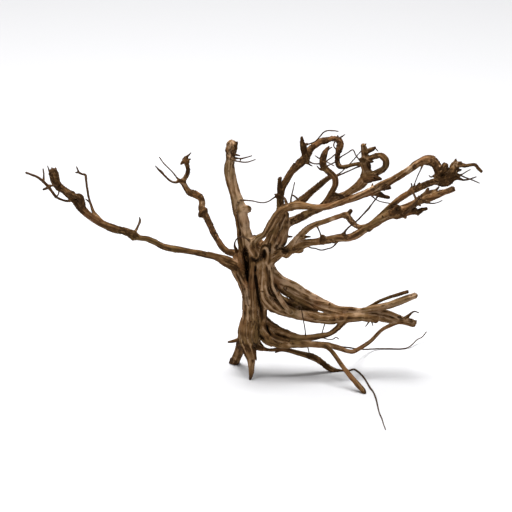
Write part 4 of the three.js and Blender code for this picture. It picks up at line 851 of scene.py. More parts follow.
def span_field(limb, i, is_last, x, y, z, settings):
    """Distance to one fluted span of a limb on a small grid, and the share along the span."""
    start, reach = limb.points[i], limb.points[i + 1] - limb.points[i]
    length = float(np.linalg.norm(reach))
    x, y, z = (x - start[0])[:, None, None], (y - start[1])[None, :, None], (z - start[2])[None, None, :]
    x, y, z = x.astype(np.float32), y.astype(np.float32), z.astype(np.float32)
    along = (x * reach[0] + y * reach[1] + z * reach[2]) / (length * length)
    share = np.clip(along, 0, 1)
    ends_broken = is_last and limb.broken
    centre = np.maximum(along, 0) if ends_broken else share
    px, py, pz = x - centre * reach[0], y - centre * reach[1], z - centre * reach[2]
    axis, other = limb.first_axis[i:i + 2].mean(axis=0), limb.second_axis[i:i + 2].mean(axis=0)
    first = px * axis[0] + py * axis[1] + pz * axis[2]
    second = px * other[0] + py * other[1] + pz * other[2]
    from_axis = np.sqrt(px * px + py * py + pz * pz)
    turn = limb.turns[i] + (limb.turns[i + 1] - limb.turns[i]) * share
    angle = np.arctan2(second, first) + turn
    depth = settings.flute * 0.5 * (limb.flutes[i] + limb.flutes[i + 1])
    groove = 1 - np.abs(np.cos(angle * (limb.lobes / 2)))
    radius = limb.radii[i] + (limb.radii[i + 1] - limb.radii[i]) * share
    oval = OVAL * np.cos(2 * angle + limb.number)
    value = from_axis - radius * (1 + oval + 0.2 * depth - depth * groove * groove)
    if ends_broken:
        value = broken_end(limb, value, (along - 1) * length, first, second)
    return value.astype(np.float32), share


def broken_end(limb, value, beyond, first, second):
    """Ends a limb in a flat cut, or in a splintered break that is hollow in the middle."""
    radius = limb.radii[-1]
    out = np.sqrt(first * first + second * second) / radius
    across, over = first.ravel() / SPLINTER_WIDTH + limb.number, second.ravel() / SPLINTER_WIDTH
    grain = np.stack([across, over, np.full(first.size, 0.5)], axis=1)
    fine = lattice_noise(grain).reshape(first.shape)
    coarse = lattice_noise(grain * 0.42, 3).reshape(first.shape)
    if limb.name in CUT_FLAT:
        return np.maximum(value, beyond - 0.1 * fine)
    bowl = min(radius, 5) * (0.5 if radius > 3.3 else 0.15) * np.clip(1.2 - out * out, 0, 1)
    length = np.clip(0.75 * coarse + 0.5 * fine, -0.5, 0.75) * min(radius, 4.5)
    return np.maximum(value, (beyond + bowl - length) * 0.7)


def largest_part(points, quads):
    """The largest connected part of a mesh of quads."""
    label = np.arange(len(points))
    while True:
        lowest = label[quads].min(axis=1)
        updated = label.copy()
        for corner in range(4):
            np.minimum.at(updated, quads[:, corner], lowest)
        updated = updated[updated]
        if (updated == label).all():
            break
        label = updated
    names, counts = np.unique(label[quads[:, 0]], return_counts=True)
    keep = label[quads[:, 0]] == names[counts.argmax()]
    used, places = np.unique(quads[keep], return_inverse=True)
    return points[used], places.reshape(-1, 4)


# What the surface is like at each point

class Surface:
    """Grain, cracks and hollows at points on the wood."""

    def __init__(self, points, spans):
        count = len(points)
        self.nearest = np.zeros(count, np.int64)
        self.second = np.zeros(count, np.int64)
        self.gap = np.zeros(count)
        cells = np.floor(points / CELL_SIZE).astype(np.int64)
        keys = (cells[:, 0] * CELL_KEYS + cells[:, 1]) * CELL_KEYS + cells[:, 2]
        order = np.argsort(keys, kind="stable")
        edges = np.nonzero(np.diff(keys[order]))[0] + 1
        middles = spans.start + spans.reach / 2
        for group in np.split(order, edges):
            middle = (cells[group[0]] + 0.5) * CELL_SIZE
            away = np.linalg.norm(middles - middle, axis=1) - spans.thick
            chosen = np.nonzero(away < away.min() + 2.2 * CELL_SIZE)[0]
            value = spans.distances(points[group], chosen)
            best = value.argmin(axis=1)
            rows = np.arange(len(group))
            closest = value[rows, best]
            same = spans.limb_of[chosen][None, :] == spans.limb_of[chosen[best]][:, None]
            value = np.where(same, FAR, value)
            runner = value.argmin(axis=1)
            self.nearest[group] = chosen[best]
            self.second[group] = chosen[runner]
            self.gap[group] = np.minimum(value[rows, runner] - closest, FAR)
        self.mix = 0.5 * np.clip(1 - self.gap / MIX_WIDTH, 0, 1)
        self.grains = [grain_at(points, self.nearest, spans), grain_at(points, self.second, spans)]

    def blended(self, measure):
        """A measure of the grain, mixed where two limbs meet."""
        one, two = measure(*self.grains[0]), measure(*self.grains[1])
        return one + (two - one) * self.mix


def grain_at(points, chosen, spans):
    """Grain coordinates of points on their spans: two across the limb, one along it, and the radius."""
    start, reach = spans.start[chosen], spans.reach[chosen]
    share = np.clip(((points - start) * reach).sum(axis=1) / spans.square[chosen], 0, 1)
    offset = points - start - share[:, None] * reach
    limb_of, sample = spans.limb_of[chosen], spans.sample[chosen]
    first, second, turn, arc = (np.zeros(len(points)) for _ in range(4))
    for number in np.unique(limb_of):
        limb = spans.limbs[number]
        rows = np.nonzero(limb_of == number)[0]
        i, part = sample[rows], share[rows]
        axis = limb.first_axis[i] * (1 - part)[:, None] + limb.first_axis[i + 1] * part[:, None]
        other = limb.second_axis[i] * (1 - part)[:, None] + limb.second_axis[i + 1] * part[:, None]
        first[rows] = (offset[rows] * axis).sum(axis=1)
        second[rows] = (offset[rows] * other).sum(axis=1)
        turn[rows] = limb.turns[i] + (limb.turns[i + 1] - limb.turns[i]) * part
        arc[rows] = limb.arcs[i] + (limb.arcs[i + 1] - limb.arcs[i]) * part
    radius = spans.thick[chosen] + share * spans.thicker[chosen]
    cosine, sine = np.cos(turn), np.sin(turn)
    crosswise = np.stack([first * cosine - second * sine, first * sine + second * cosine], axis=1)
    crosswise = crosswise / np.maximum(np.linalg.norm(crosswise, axis=1), 0.2)[:, None] * radius[:, None]
    grain = np.stack([crosswise[:, 0], crosswise[:, 1], arc], axis=1) + GRAIN_SHIFT * limb_of[:, None]
    return grain, radius, limb_of


def fibres(grain, radius, limb_of):
    """Fine ridges along the grain, from -1 in the valleys to 1 on the ridges."""
    fine = 1 - 2 * np.abs(lattice_noise(grain * FINE_FIBRES, 1))
    coarse = 1 - 2 * np.abs(lattice_noise(grain * COARSE_FIBRES, 2))
    return 0.45 * fine + 0.55 * coarse


def lumps(grain, radius, limb_of):
    return lattice_noise(grain * LUMPS, 3)


def cracks(grain, radius, limb_of):
    """Narrow drying cracks along the grain, 1 at the bottom of a crack."""
    line = np.abs(lattice_noise(grain * CRACK_LINES, 4))
    region = lattice_noise(grain * CRACK_REGIONS, 5)
    return np.clip(1 - line / 0.07, 0, 1) * np.clip((region + 0.05) * 2.5, 0, 1)


def pits(grain, radius, limb_of):
    spots = lattice_noise(grain * PITS, 6)
    return np.clip((spots - 0.68) * 5, 0, 1)


def spotted(points, spots):
    """How strongly spots of the sketch mark each point, from 0 to 1, with frayed edges."""
    across, up, _ = sketched(*points.T)
    marked = np.zeros(len(points))
    for spot_across, spot_up, radius in spots:
        away = np.hypot(across - spot_across, up - spot_up) / radius
        marked = np.maximum(marked, np.clip(1.7 - 1.25 * away, 0, 1))
    return np.clip(marked * (1 + 0.5 * lattice_noise(points * 0.3, 9)), 0, 1)


def smoothed(values, edges, counts, rounds):
    """Values at points, averaged along the edges several times."""
    for _ in range(rounds):
        total = np.zeros_like(values)
        for axis in range(values.shape[1]):
            total[:, axis] = np.bincount(edges[:, 0], values[edges[:, 1], axis], len(values))
            total[:, axis] += np.bincount(edges[:, 1], values[edges[:, 0], axis], len(values))
        values = 0.5 * values + 0.5 * total / counts
    return values


def mesh_arrays(mesh):
    points = np.empty(len(mesh.vertices) * 3, np.float32)
    mesh.vertices.foreach_get("co", points)
    normals = np.empty(len(mesh.vertices) * 3, np.float32)
    mesh.vertex_normals.foreach_get("vector", normals)
    return points.reshape(-1, 3).astype(np.float64) / MM, normals.reshape(-1, 3).astype(np.float64)


def store(mesh, name, values):
    """Keeps a number or a vector at each point of a mesh for its material."""
    kind, field = ("FLOAT", "value") if values.ndim == 1 else ("FLOAT_VECTOR", "vector")
    attribute = mesh.attributes.new(name, kind, "POINT")
    attribute.data.foreach_set(field, values.astype(np.float32).ravel())


def new_mesh(name, points, faces):
    mesh = bpy.data.meshes.new(name)
    mesh.vertices.add(len(points))
    mesh.vertices.foreach_set("co", (points * MM).astype(np.float32).ravel())
    mesh.loops.add(faces.size)
    mesh.loops.foreach_set("vertex_index", faces.astype(np.int32).ravel())
    mesh.polygons.add(len(faces))
    mesh.polygons.foreach_set("loop_start", np.arange(0, faces.size, faces.shape[1], dtype=np.int32))
    mesh.update(calc_edges=True)
    mesh.validate()
    return mesh


def move_points(mesh, points):
    mesh.vertices.foreach_set("co", (points * MM).astype(np.float32).ravel())
    mesh.update()


def add_object(name, data):
    made = bpy.data.objects.new(name, data)
    bpy.context.scene.collection.objects.link(made)
    return made


def carve_surface(mesh, spans, settings):
    """Raises and cuts the fibres, lumps, cracks and pits into a mesh."""
    points, normals = mesh_arrays(mesh)
    surface = Surface(points, spans)
    radius = surface.grains[0][1]
    small = np.clip(radius / 4.5, 0.2, 1)
    rise = settings.fibre * small * surface.blended(fibres)
    rise += settings.lump * np.clip(radius / 5, 0.15, 1.3) * surface.blended(lumps)
    rise -= settings.crack * small * surface.blended(cracks)
    rise -= 0.5 * settings.crack * small * surface.blended(pits)
    nubs = lattice_noise(points * 0.42, 7) + 0.5 * lattice_noise(points * 0.9, 8)
    rise += settings.nub * spotted(points, BARK_AND_SHADE_SPOTS) * np.clip(radius / 4, 0.25, 1.2) * nubs
    points = points + normals * rise[:, None]
    low = points[:, 2] < 0.3
    points[low, 2] = np.maximum(points[low, 2], 0)
    move_points(mesh, points)


def painted_hollow_shade(points):
    """How deep in a cleft, a hollow or a scar's pit each point lies, from 0 to 1, as the strength of painted
    shade there; deeper clefts get darker shade.
    """
    across, up, back = sketched(*points.T)
    hollow = np.zeros(len(points))
    for depth, furthest, path in CLEFTS:
        darkness = min(1, 0.25 + depth / 6)
        inside = np.clip(0.6 - beside_path(across, up, path) / 1.1, 0, 1) * (back < furthest)
        hollow = np.maximum(hollow, darkness * inside)
    for *place, radius, pit in KNOTS:
        mouth = knot_place(*place) + TOWARD_VIEWER * (radius + 0.2)
        hollow = np.maximum(hollow, np.clip(1.5 - np.linalg.norm(points - mouth, axis=1) / pit, 0, 1))
    return hollow


def describe_surface(mesh, spans):
    """Stores the grain, the recesses, the cracks and the tone at each point, for the material, which paints
    shade into the recesses, cracks and hollows.
    """
    points, normals = mesh_arrays(mesh)
    surface = Surface(points, spans)
    edges = np.empty(len(mesh.edges) * 2, np.int32)
    mesh.edges.foreach_get("vertices", edges)
    edges = edges.reshape(-1, 2)
    counts = np.maximum(np.bincount(edges.ravel(), minlength=len(points)), 1)[:, None]
    near = smoothed(points, edges, counts, NEAR_ROUNDS[0])
    wide = smoothed(near, edges, counts, WIDE_ROUNDS[0])
    near = ((near - points) * normals).sum(axis=1)[:, None]
    wide = ((wide - points) * normals).sum(axis=1)[:, None]
    recess = near - smoothed(near, edges, counts, NEAR_ROUNDS[1])
    recess = recess + WIDE_SHARE * (wide - smoothed(wide, edges, counts, WIDE_ROUNDS[1]))
    store(mesh, "grain_one", surface.grains[0][0])
    store(mesh, "grain_two", surface.grains[1][0])
    store(mesh, "grain_mix", surface.mix)
    # the recess, which the material darkens as painted shade and pales on ridges
    store(mesh, "recess", smoothed(recess, edges, counts, 1)[:, 0])
    # painted shade in the clefts and the knots' pits
    store(mesh, "hollow", painted_hollow_shade(points))
    # bark spots, some of them painted shade, for the material's dark bark layer
    store(mesh, "bark", spotted(points, BARK_AND_SHADE_SPOTS))
    store(mesh, "rubbed", spotted(points, RUBBED_SPOTS))
    # cracks and pits, which the material darkens as painted shade
    store(mesh, "crack", np.maximum(surface.blended(cracks), surface.blended(pits)))
    # The limbs' tones, partly painted shade, mixed where two limbs meet
    tones = np.array([limb.tone for limb in spans.limbs])
    near_tone, other_tone = tones[surface.grains[0][2]], tones[surface.grains[1][2]]
    store(mesh, "tone", near_tone + (other_tone - near_tone) * surface.mix)
    slim = [np.clip(1 - (grain[1] - 1) / 2.5, 0, 1) for grain in surface.grains]
    store(mesh, "slimness", slim[0] + (slim[1] - slim[0]) * surface.mix)


# Material

def wood_material(finish):
    """Streaky weathered wood that follows each limb's grain, with painted shade in its recesses, clefts and
    cracks, and pale where worn and, as painted highlight, on its ridges.
    """
    material = bpy.data.materials.new("weathered_root_wood")
    material.use_nodes = True
    tree = material.node_tree
    nodes, links = tree.nodes, tree.links
    nodes.clear()

    def node(kind, **values):
        made = nodes.new(kind)
        for key, value in values.items():
            setattr(made, key, value)
        return made

    def attribute(name, output="Fac"):
        return node("ShaderNodeAttribute", attribute_name=name).outputs[output]

    def plug(value, socket):
        if isinstance(value, bpy.types.NodeSocket):
            links.new(value, socket)
        else:
            socket.default_value = value

    def maths(operation, one, two):
        made = node("ShaderNodeMath", operation=operation)
        plug(one, made.inputs[0])
        plug(two, made.inputs[1])
        return made.outputs[0]

    def weighted(*terms):
        """The sum of some values, each multiplied by its weight."""
        total, *others = [maths("MULTIPLY", value, weight) for value, weight in terms]
        for term in others:
            total = maths("ADD", total, term)
        return total

    def ranged(value, low, high, start=0.0, end=1.0):
        made = node("ShaderNodeMapRange", interpolation_type="SMOOTHSTEP")
        for slot, given in zip(made.inputs, (value, low, high, start, end)):
            plug(given, slot)
        return made.outputs[0]

    def mixed(factor, one, two):
        made = node("ShaderNodeMix", data_type="RGBA")
        plug(factor, made.inputs[0])
        plug(one, made.inputs[6])
        plug(two, made.inputs[7])
        return made.outputs[2]

    def noise(vector, scales, detail=4.0, roughness=0.6, distortion=0.0):
        mapping = node("ShaderNodeMapping")
        mapping.inputs["Scale"].default_value = scales
        links.new(vector, mapping.inputs["Vector"])
        made = node("ShaderNodeTexNoise")
        links.new(mapping.outputs["Vector"], made.inputs["Vector"])
        made.inputs["Scale"].default_value = 1.0
        made.inputs["Detail"].default_value = detail
        made.inputs["Roughness"].default_value = roughness
        made.inputs["Distortion"].default_value = distortion
        return made.outputs["Fac"]

    grains = [attribute("grain_one", "Vector"), attribute("grain_two", "Vector")]
    grain_mix = attribute("grain_mix")

    def along_grain(scales, **more):
        one, two = [noise(vector, scales, **more) for vector in grains]
        made = node("ShaderNodeMix", data_type="FLOAT")
        plug(grain_mix, made.inputs[0])
        plug(one, made.inputs[2])
        plug(two, made.inputs[3])
        return made.outputs[0]

    strands = along_grain((0.34, 0.34, 0.02), detail=3.0, roughness=0.55, distortion=0.3)
    streaks = along_grain((0.95, 0.95, 0.03), detail=3.0, roughness=0.55, distortion=0.2)
    fine = along_grain((2.6, 2.6, 0.06), detail=2.0, roughness=0.6)
    place = node("ShaderNodeTexCoord").outputs["Object"]
    patches = noise(place, (40, 40, 40), detail=3.0)
    hues = noise(place, (26, 26, 26), detail=2.0)
    bark = along_grain((0.3, 0.3, 0.1), detail=4.0, roughness=0.6, distortion=0.6)
    specks = noise(place, (380, 380, 380), detail=2.0)
    recess = attribute("recess")
    tone = attribute("tone")
    slimness = attribute("slimness")

    # Paleness sinks in recesses as painted shade and rises on ridges, partly as wear and partly as painted
    # highlight
    paleness = weighted((streaks, 0.28), (fine, 0.17), (strands, 0.5), (patches, 0.22), (tone, 0.16),
        (slimness, -0.06), (recess, -0.3), (attribute("rubbed"), 0.22))
    # Dark bark: grain noise, the bark spots and the tone, where the spots and the tones are partly painted
    # shade
    bark_and_shade = weighted((bark, 1.0), (tone, -0.06), (slimness, 0.03), (attribute("bark"), 0.17))

    # Each layer: what brings it out, between which of its values, how much it covers, and its colour
    layers = (
        (paleness, 0.45, 0.62, 1.0, finish.middle),
        (paleness, 0.6, 0.86, 1.0, finish.pale),
        (hues, 0.52, 0.66, 0.5, finish.warm),
        (hues, 0.46, 0.34, 0.4, finish.olive),
        # The bark colour, partly as painted shade
        (bark_and_shade, 0.59, 0.66, 0.88, finish.bark),
        (slimness, 0.5, 1.0, 0.85, finish.twig),
        (fine, 0.44, 0.3, 0.4, finish.crevice),
        (strands, 0.43, 0.35, 0.6, finish.crevice),
        (specks, 0.64, 0.78, 0.3, finish.crevice),
        # Painted shade: the crevice colour darkens the recesses
        (recess, 0.12, 0.7, 0.7, finish.crevice),
        # Painted shade: the crevice colour darkens the drying cracks and the pits
        (attribute("crack"), 0.3, 1.0, 0.7, finish.crevice),
        # Painted shade: the crevice colour darkens the clefts and the knots' pits
        (attribute("hollow"), 0.15, 0.9, 0.9, finish.crevice),
    )
    base = (*finish.shade, 1)
    for value, low, high, cover, colour in layers:
        base = mixed(maths("MULTIPLY", ranged(value, low, high), cover), base, (*colour, 1))

    bump = node("ShaderNodeBump")
    bump.inputs["Strength"].default_value = 0.6
    bump.inputs["Distance"].default_value = 0.0006
    links.new(maths("ADD", fine, maths("ADD", streaks, strands)), bump.inputs["Height"])

    shader = node("ShaderNodeBsdfPrincipled")
    links.new(base, shader.inputs["Base Color"])
    links.new(ranged(fine, 0.3, 0.7, 0.9, 0.68), shader.inputs["Roughness"])
    shader.inputs["Specular IOR Level"].default_value = 0.06
    links.new(bump.outputs["Normal"], shader.inputs["Normal"])
    output = node("ShaderNodeOutputMaterial")
    links.new(shader.outputs["BSDF"], output.inputs["Surface"])
    return material


def shared_material(finish):
    return bpy.data.materials.get("weathered_root_wood") or wood_material(finish)


def finish_piece(wood, finish):
    """Gives a piece its material and its place in the frame."""
    mesh = wood.data
    mesh.materials.clear()
    mesh.materials.append(shared_material(finish))
    mesh.polygons.foreach_set("use_smooth", np.ones(len(mesh.polygons), bool))
    mesh.polygons.foreach_set("material_index", np.zeros(len(mesh.polygons), np.int32))
    mesh.update()
    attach(wood, "root")
    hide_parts("driftwood")


# Twigs and hair roots by Geometry Nodes

def twig_tree():
    """Sweeps a rounded section along each curve, as thick as the curve's radius says."""
    tree = bpy.data.node_groups.new("twigs", "GeometryNodeTree")
    inputs = {"Geometry": "Geometry", "Sides": "Int", "Step": "Float", "Kink": "Float", "Seed": "Int",
        "Wood": "Material"}
    for name, kind in inputs.items():
        tree.interface.new_socket(name, in_out="INPUT", socket_type="NodeSocket" + kind)
    tree.interface.new_socket("Geometry", in_out="OUTPUT", socket_type="NodeSocketGeometry")
    node = tree.nodes.new
    given = node("NodeGroupInput")
    result = node("NodeGroupOutput")
    resample = node("GeometryNodeResampleCurve")
    resample.mode = "LENGTH"
    radius = node("GeometryNodeInputRadius")
    place = node("GeometryNodeInputPosition")
    noise = node("ShaderNodeTexNoise")
    noise.noise_dimensions = "4D"
    noise.inputs["Scale"].default_value = KINK_SCALE
    noise.inputs["Detail"].default_value = 1
    centred = node("ShaderNodeVectorMath")
    centred.operation = "SUBTRACT"
    centred.inputs[1].default_value = (0.5, 0.5, 0.5)
    size = node("ShaderNodeMath")
    size.operation = "MULTIPLY"
    shift = node("ShaderNodeVectorMath")
    shift.operation = "SCALE"
    moved = node("GeometryNodeSetPosition")
    circle = node("GeometryNodeCurvePrimitiveCircle")
    circle.inputs["Radius"].default_value = 1
    swept = node("GeometryNodeCurveToMesh")
    swept.inputs["Fill Caps"].default_value = True
    realize = node("GeometryNodeRealizeInstances")
    dress = node("GeometryNodeSetMaterial")
    for source, output, target, socket in (
        (given, "Geometry", resample, "Curve"),
        (given, "Step", resample, "Length"),
        (given, "Seed", noise, "W"),
        (place, "Position", noise, "Vector"),
        (noise, "Color", centred, 0),
        (given, "Kink", size, 0),
        (radius, "Radius", size, 1),
        (centred, "Vector", shift, 0),
        (size, 0, shift, "Scale"),
        (resample, "Curve", moved, "Geometry"),
        (shift, "Vector", moved, "Offset"),
        (given, "Sides", circle, "Resolution"),
        (moved, "Geometry", swept, "Curve"),
        (circle, "Curve", swept, "Profile Curve"),
        (radius, "Radius", swept, "Scale"),
        (swept, "Mesh", realize, "Geometry"),
        (realize, "Geometry", dress, "Geometry"),
        (given, "Wood", dress, "Material"),
        (dress, "Geometry", result, "Geometry"),
    ):
        tree.links.new(source.outputs[output], target.inputs[socket])
    return tree


def socket_named(tree, name):
    """The identifier of a tree's input, by its name."""
    return next(item.identifier for item in tree.interface.items_tree
        if item.item_type == "SOCKET" and item.in_out == "INPUT" and item.name == name)


def plain_mesh(wood, name):
    """The evaluated shape of an object as a new object with a plain mesh."""
    evaluated = wood.evaluated_get(bpy.context.evaluated_depsgraph_get())
    mesh = bpy.data.meshes.new_from_object(evaluated)
    mesh.name = name
    data = wood.data
    bpy.data.objects.remove(wood)
    if isinstance(data, bpy.types.Curve):
        bpy.data.curves.remove(data)
    else:
        bpy.data.meshes.remove(data)
    return add_object(name, mesh)


def twig_runs(limb):
    """The runs of a limb that are thin enough to be twigs, as lists of samples."""
    thin = limb.radii < TWIG_RADIUS
    runs, run = [], []
    for i, is_thin in enumerate(thin):
        if is_thin:
            run.append(i)
        elif run:
            runs.append(run)
            run = []
    if run:
        runs.append(run)
    long_enough = [run for run in runs if len(run) > 1]
    return [[*range(max(run[0] - 2, 0), run[0]), *run, *range(run[-1] + 1, min(run[-1] + 3, len(thin)))]
        for run in long_enough]


def swept_twigs(name, limbs, shape, finish):
    """All thin runs of the limbs as one piece."""
    curve = bpy.data.curves.new(name, "CURVE")
    curve.dimensions = "3D"
    for limb in limbs:
        for run in twig_runs(limb):
            points, radii = limb.points[run], np.maximum(limb.radii[run], THINNEST_TWIG)
            if run[-1] == len(limb.points) - 1 and limb.tip_free:
                tip = points[-1] + limb.tangents[-1] * radii[-1] * 0.9
                points = np.vstack([points, tip])
                radii = np.append(radii, radii[-1] * 0.25)
            spline = curve.splines.new("POLY")
            spline.points.add(len(points) - 1)
            spline.points.foreach_set("co", np.column_stack([points * MM, np.ones(len(points))]).ravel())
            spline.points.foreach_set("radius", radii * MM)
    wood = add_object(name, curve)
    tree = twig_tree()
    modifier = wood.modifiers.new("twigs", "NODES")
    modifier.node_group = tree
    given = {"Sides": shape.twig_sides, "Step": shape.twig_step * MM, "Kink": shape.twig_kink,
        "Seed": shape.seed, "Wood": shared_material(finish)}
    for socket, value in given.items():
        modifier[socket_named(tree, socket)] = value
    return plain_mesh(wood, name)


def settle(mesh):
    """Keeps every point on or above the ground."""
    points, _ = mesh_arrays(mesh)
    points[:, 2] = np.maximum(points[:, 2], 0)
    move_points(mesh, points)


# Settings

def colour_setting(name, description, default):
    return FloatVectorProperty(name=name, description=description, default=default, min=0, max=1,
        subtype="COLOR")


def length_setting(name, description, default, least):
    return FloatProperty(name=name, description=description, default=default, min=least,
        subtype="DISTANCE", unit="LENGTH")


class DRIFTWOOD_shape(bpy.types.PropertyGroup):
    crease: FloatProperty(name="Crease", description="Width of the rounded corner between strands, in mm",
        default=0.9, min=0.2, max=4)
    flute: FloatProperty(name="Flutes", description="Depth of a limb's flutes, as a share of its radius",
        default=0.34, min=0, max=0.6)
    fibre: FloatProperty(name="Fibres", description="Height of the fibres, in mm",
        default=0.24, min=0, max=1)
    lump: FloatProperty(name="Lumps", description="Height of the lumps, in mm", default=0.45, min=0, max=2)
    nub: FloatProperty(name="Nubs", description="Height of the nubs where bark is left, in mm",
        default=0.95, min=0, max=3)
    crack: FloatProperty(name="Cracks", description="Depth of the drying cracks, in mm",
        default=0.9, min=0, max=3)
    twig_sides: IntProperty(name="Twig sides", description="Sides of a twig's section",
        default=8, min=4, max=16)
    twig_step: FloatProperty(name="Twig step", description="Distance between a twig's sections, in mm",
        default=1.2, min=0.5, max=5)
    twig_kink: FloatProperty(name="Twig kinks", description="How crooked the twigs are, in radii",
        default=0.6, min=0, max=2)
    seed: IntProperty(name="Seed", description="Seed of the twigs' kinks", default=7)


class DRIFTWOOD_finish(bpy.types.PropertyGroup):
    middle: colour_setting("Middle", "Colour of most of the wood", (0.15, 0.079, 0.0305))
    # The pale colour also serves as painted highlight on ridges
    pale: colour_setting("Pale", "Colour where the wood is rubbed", (0.37, 0.24, 0.142))
    shade: colour_setting("Shade", "Colour of the darker streaks", (0.063, 0.029, 0.009))
    warm: colour_setting("Warm", "Colour of the reddish patches", (0.2, 0.09, 0.036))
    olive: colour_setting("Olive", "Colour of the greenish patches", (0.124, 0.08, 0.028))
    bark: colour_setting("Bark", "Colour of the remains of bark", (0.036, 0.0165, 0.0055))
    twig: colour_setting("Twig", "Colour of the twigs and hair roots", (0.052, 0.031, 0.019))
    # The crevice colour paints the shade in recesses, clefts and cracks, and also marks dark grain lines and
    # specks
    crevice: colour_setting("Crevice", "Colour in cracks and recesses", (0.018, 0.0075, 0.0018))


class DRIFTWOOD_stage(bpy.types.PropertyGroup):
    floor: colour_setting("Floor", "Colour of the floor", (0.565, 0.565, 0.575))
    floor_radius: length_setting("Floor radius", "Radius of the floor", 6, 1)
    horizon: FloatProperty(name="Horizon", description="Strength of the sky at the horizon", default=1.15,
        min=0, max=5)
    sky: FloatProperty(name="Sky", description="Strength of the sky overhead", default=0.32, min=0, max=5)
    key: FloatProperty(name="Key light", description="Power of the light above", default=125, min=0,
        subtype="POWER", unit="POWER")
    key_size: length_setting("Key light size", "Width of the light above", 1.9, 0.05)
    fill: FloatProperty(name="Fill light", description="Power of the light in front", default=12, min=0,
        subtype="POWER", unit="POWER")
    distance: length_setting("Camera distance", "Distance of the camera", 25, 1)
    field: length_setting("Field of view", "Width of the view at the wood", 0.6656, 0.1)


# Pieces

LIMBS = []


def limbs_and_spans():
    """The limbs, read once."""
    if not LIMBS:
        LIMBS.extend(grown_limbs())
    return LIMBS, Spans(LIMBS)


def complete(wood, spans, finish):
    """Keeps a piece above the ground, stores what its material reads, and finishes it."""
    settle(wood.data)
    describe_surface(wood.data, spans)
    finish_piece(wood, finish)


def build_twigs(name, scene, are_hair_roots):
    """Builds the twigs of the hair roots, or of all other limbs."""
    limbs, spans = limbs_and_spans()
    chosen = [limb for limb in limbs if (limb.group == "hair_roots") == are_hair_roots]
    wood = swept_twigs(name, chosen, scene.driftwood_shape, scene.driftwood_finish)
    complete(wood, spans, scene.driftwood_finish)


class DRIFTWOOD_OT_body(bpy.types.Operator):
    """Builds the trunk, arms and roots as one grown body"""
    bl_idname = "driftwood.body"
    bl_label = "Trunk, arms and roots"

    def execute(self, context):
        shape, finish = context.scene.driftwood_shape, context.scene.driftwood_finish
        limbs, spans = limbs_and_spans()
        low, high = (np.array(corner) / MM for corner in CAD_BOX)
        field = Field(low, high, FINE_CELL)
        for limb in limbs:
            field.add_limb(limb, shape)
        for depth, furthest, path in CLEFTS:
            field.carve_cleft(depth, furthest, path)
        for knot in KNOTS:
            field.add_knot(*knot)
        field.cut_ground()
        points, quads = field.surface()
        mesh = new_mesh("driftwood_body", points, quads)
        carve_surface(mesh, spans, shape)
        wood = add_object("driftwood_body", mesh)
        limit = BODY_TRIANGLES
        thinned = wood.modifiers.new("thinned", "DECIMATE")
        thinned.ratio = min(1, limit / (2 * len(quads)))
        complete(plain_mesh(wood, "driftwood_body"), spans, finish)
        return {"FINISHED"}


class DRIFTWOOD_OT_twigs(bpy.types.Operator):
    """Builds the thin twigs that grow from the arms and the crown"""
    bl_idname = "driftwood.twigs"
    bl_label = "Twigs"

    def execute(self, context):
        build_twigs("driftwood_twigs", context.scene, are_hair_roots=False)
        return {"FINISHED"}


class DRIFTWOOD_OT_hair_roots(bpy.types.Operator):
    """Builds the hair roots that trail to the ground"""
    bl_idname = "driftwood.hair_roots"
    bl_label = "Hair roots"

    def execute(self, context):
        build_twigs("driftwood_hair_roots", context.scene, are_hair_roots=True)
        return {"FINISHED"}


class DRIFTWOOD_OT_stage(bpy.types.Operator):
    """Builds the white floor, the soft lights and the camera"""
    bl_idname = "driftwood.stage"
    bl_label = "Stage"

    def execute(self, context):
        scene, stage = context.scene, context.scene.driftwood_stage
        angles = np.linspace(0, 2 * math.pi, FLOOR_SIDES, endpoint=False)
        ring = np.stack([np.cos(angles), np.sin(angles), np.zeros(FLOOR_SIDES)], axis=1)
        mesh = new_mesh("floor", ring * stage.floor_radius / MM, np.arange(FLOOR_SIDES)[None, :])
        floor = add_object("floor", mesh)
        material = bpy.data.materials.new("white_floor")
        material.use_nodes = True
        shader = material.node_tree.nodes["Principled BSDF"]
        shader.inputs["Base Color"].default_value = (*stage.floor, 1)
        shader.inputs["Roughness"].default_value = 0.9
        shader.inputs["Specular IOR Level"].default_value = 0.0
        mesh.materials.append(material)
        scene.world = soft_sky(stage)
        add_light("key_light", KEY_PLACE, stage.key, stage.key_size)
        add_light("fill_light", FILL_PLACE, stage.fill, FILL_SIZE)
        camera = bpy.data.cameras.new("camera")
        camera.sensor_width = SENSOR_WIDTH
        camera.lens = SENSOR_WIDTH * stage.distance / stage.field
        camera.clip_end = 4 * stage.distance
        viewer = add_object("camera", camera)
        back = Vector(TOWARD_VIEWER)
        viewer.location = AIM + back * stage.distance
        viewer.rotation_euler = (-back).to_track_quat("-Z", "Y").to_euler()
        scene.camera = viewer
        scene.view_settings.view_transform = "Standard"
        return {"FINISHED"}


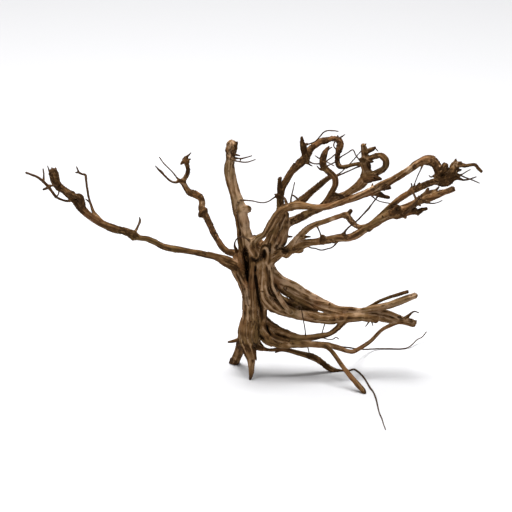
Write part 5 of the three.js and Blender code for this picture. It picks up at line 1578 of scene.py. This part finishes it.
def soft_sky(stage):
    """A white sky, brighter at the horizon than overhead."""
    world = bpy.data.worlds.new("soft_sky")
    world.use_nodes = True
    nodes, links = world.node_tree.nodes, world.node_tree.links
    direction = nodes.new("ShaderNodeTexCoord")
    height = nodes.new("ShaderNodeSeparateXYZ")
    strength = nodes.new("ShaderNodeMapRange")
    links.new(direction.outputs["Generated"], height.inputs["Vector"])
    links.new(height.outputs["Z"], strength.inputs["Value"])
    for slot, value in zip(strength.inputs[1:5], (*SKY_HEIGHTS, stage.horizon, stage.sky)):
        slot.default_value = value
    background = nodes["Background"]
    background.inputs["Color"].default_value = (1, 1, 1, 1)
    links.new(strength.outputs["Result"], background.inputs["Strength"])
    return world


def add_light(name, place, power, size):
    light = bpy.data.lights.new(name, "AREA")
    light.shape = "DISK"
    light.size = size
    light.energy = power
    lamp = add_object(name, light)
    lamp.location = place
    lamp.rotation_euler = (Vector(place) - AIM).to_track_quat("Z", "Y").to_euler()


PIECES = (DRIFTWOOD_OT_body, DRIFTWOOD_OT_twigs, DRIFTWOOD_OT_hair_roots, DRIFTWOOD_OT_stage)
SETTINGS = {"driftwood_shape": DRIFTWOOD_shape, "driftwood_finish": DRIFTWOOD_finish,
    "driftwood_stage": DRIFTWOOD_stage}


class DRIFTWOOD_PT_panel(bpy.types.Panel):
    bl_idname = "DRIFTWOOD_PT_panel"
    bl_label = "Driftwood"
    bl_space_type = "VIEW_3D"
    bl_region_type = "UI"
    bl_category = "Driftwood"

    def draw(self, context):
        for piece in PIECES:
            self.layout.operator(piece.bl_idname)
        for name, group in SETTINGS.items():
            box = self.layout.box()
            for key in group.__annotations__:
                box.prop(getattr(context.scene, name), key)


def register():
    for group in SETTINGS.values():
        bpy.utils.register_class(group)
    for name, group in SETTINGS.items():
        setattr(bpy.types.Scene, name, PointerProperty(type=group))
    for piece in PIECES:
        bpy.utils.register_class(piece)
    bpy.utils.register_class(DRIFTWOOD_PT_panel)


def unregister():
    bpy.utils.unregister_class(DRIFTWOOD_PT_panel)
    for piece in reversed(PIECES):
        bpy.utils.unregister_class(piece)
    for name, group in SETTINGS.items():
        delattr(bpy.types.Scene, name)
        bpy.utils.unregister_class(group)


def main():
    register()
    bpy.ops.driftwood.stage()
    bpy.ops.driftwood.body()
    bpy.ops.driftwood.twigs()
    bpy.ops.driftwood.hair_roots()


if __name__ == "__main__":
    main()
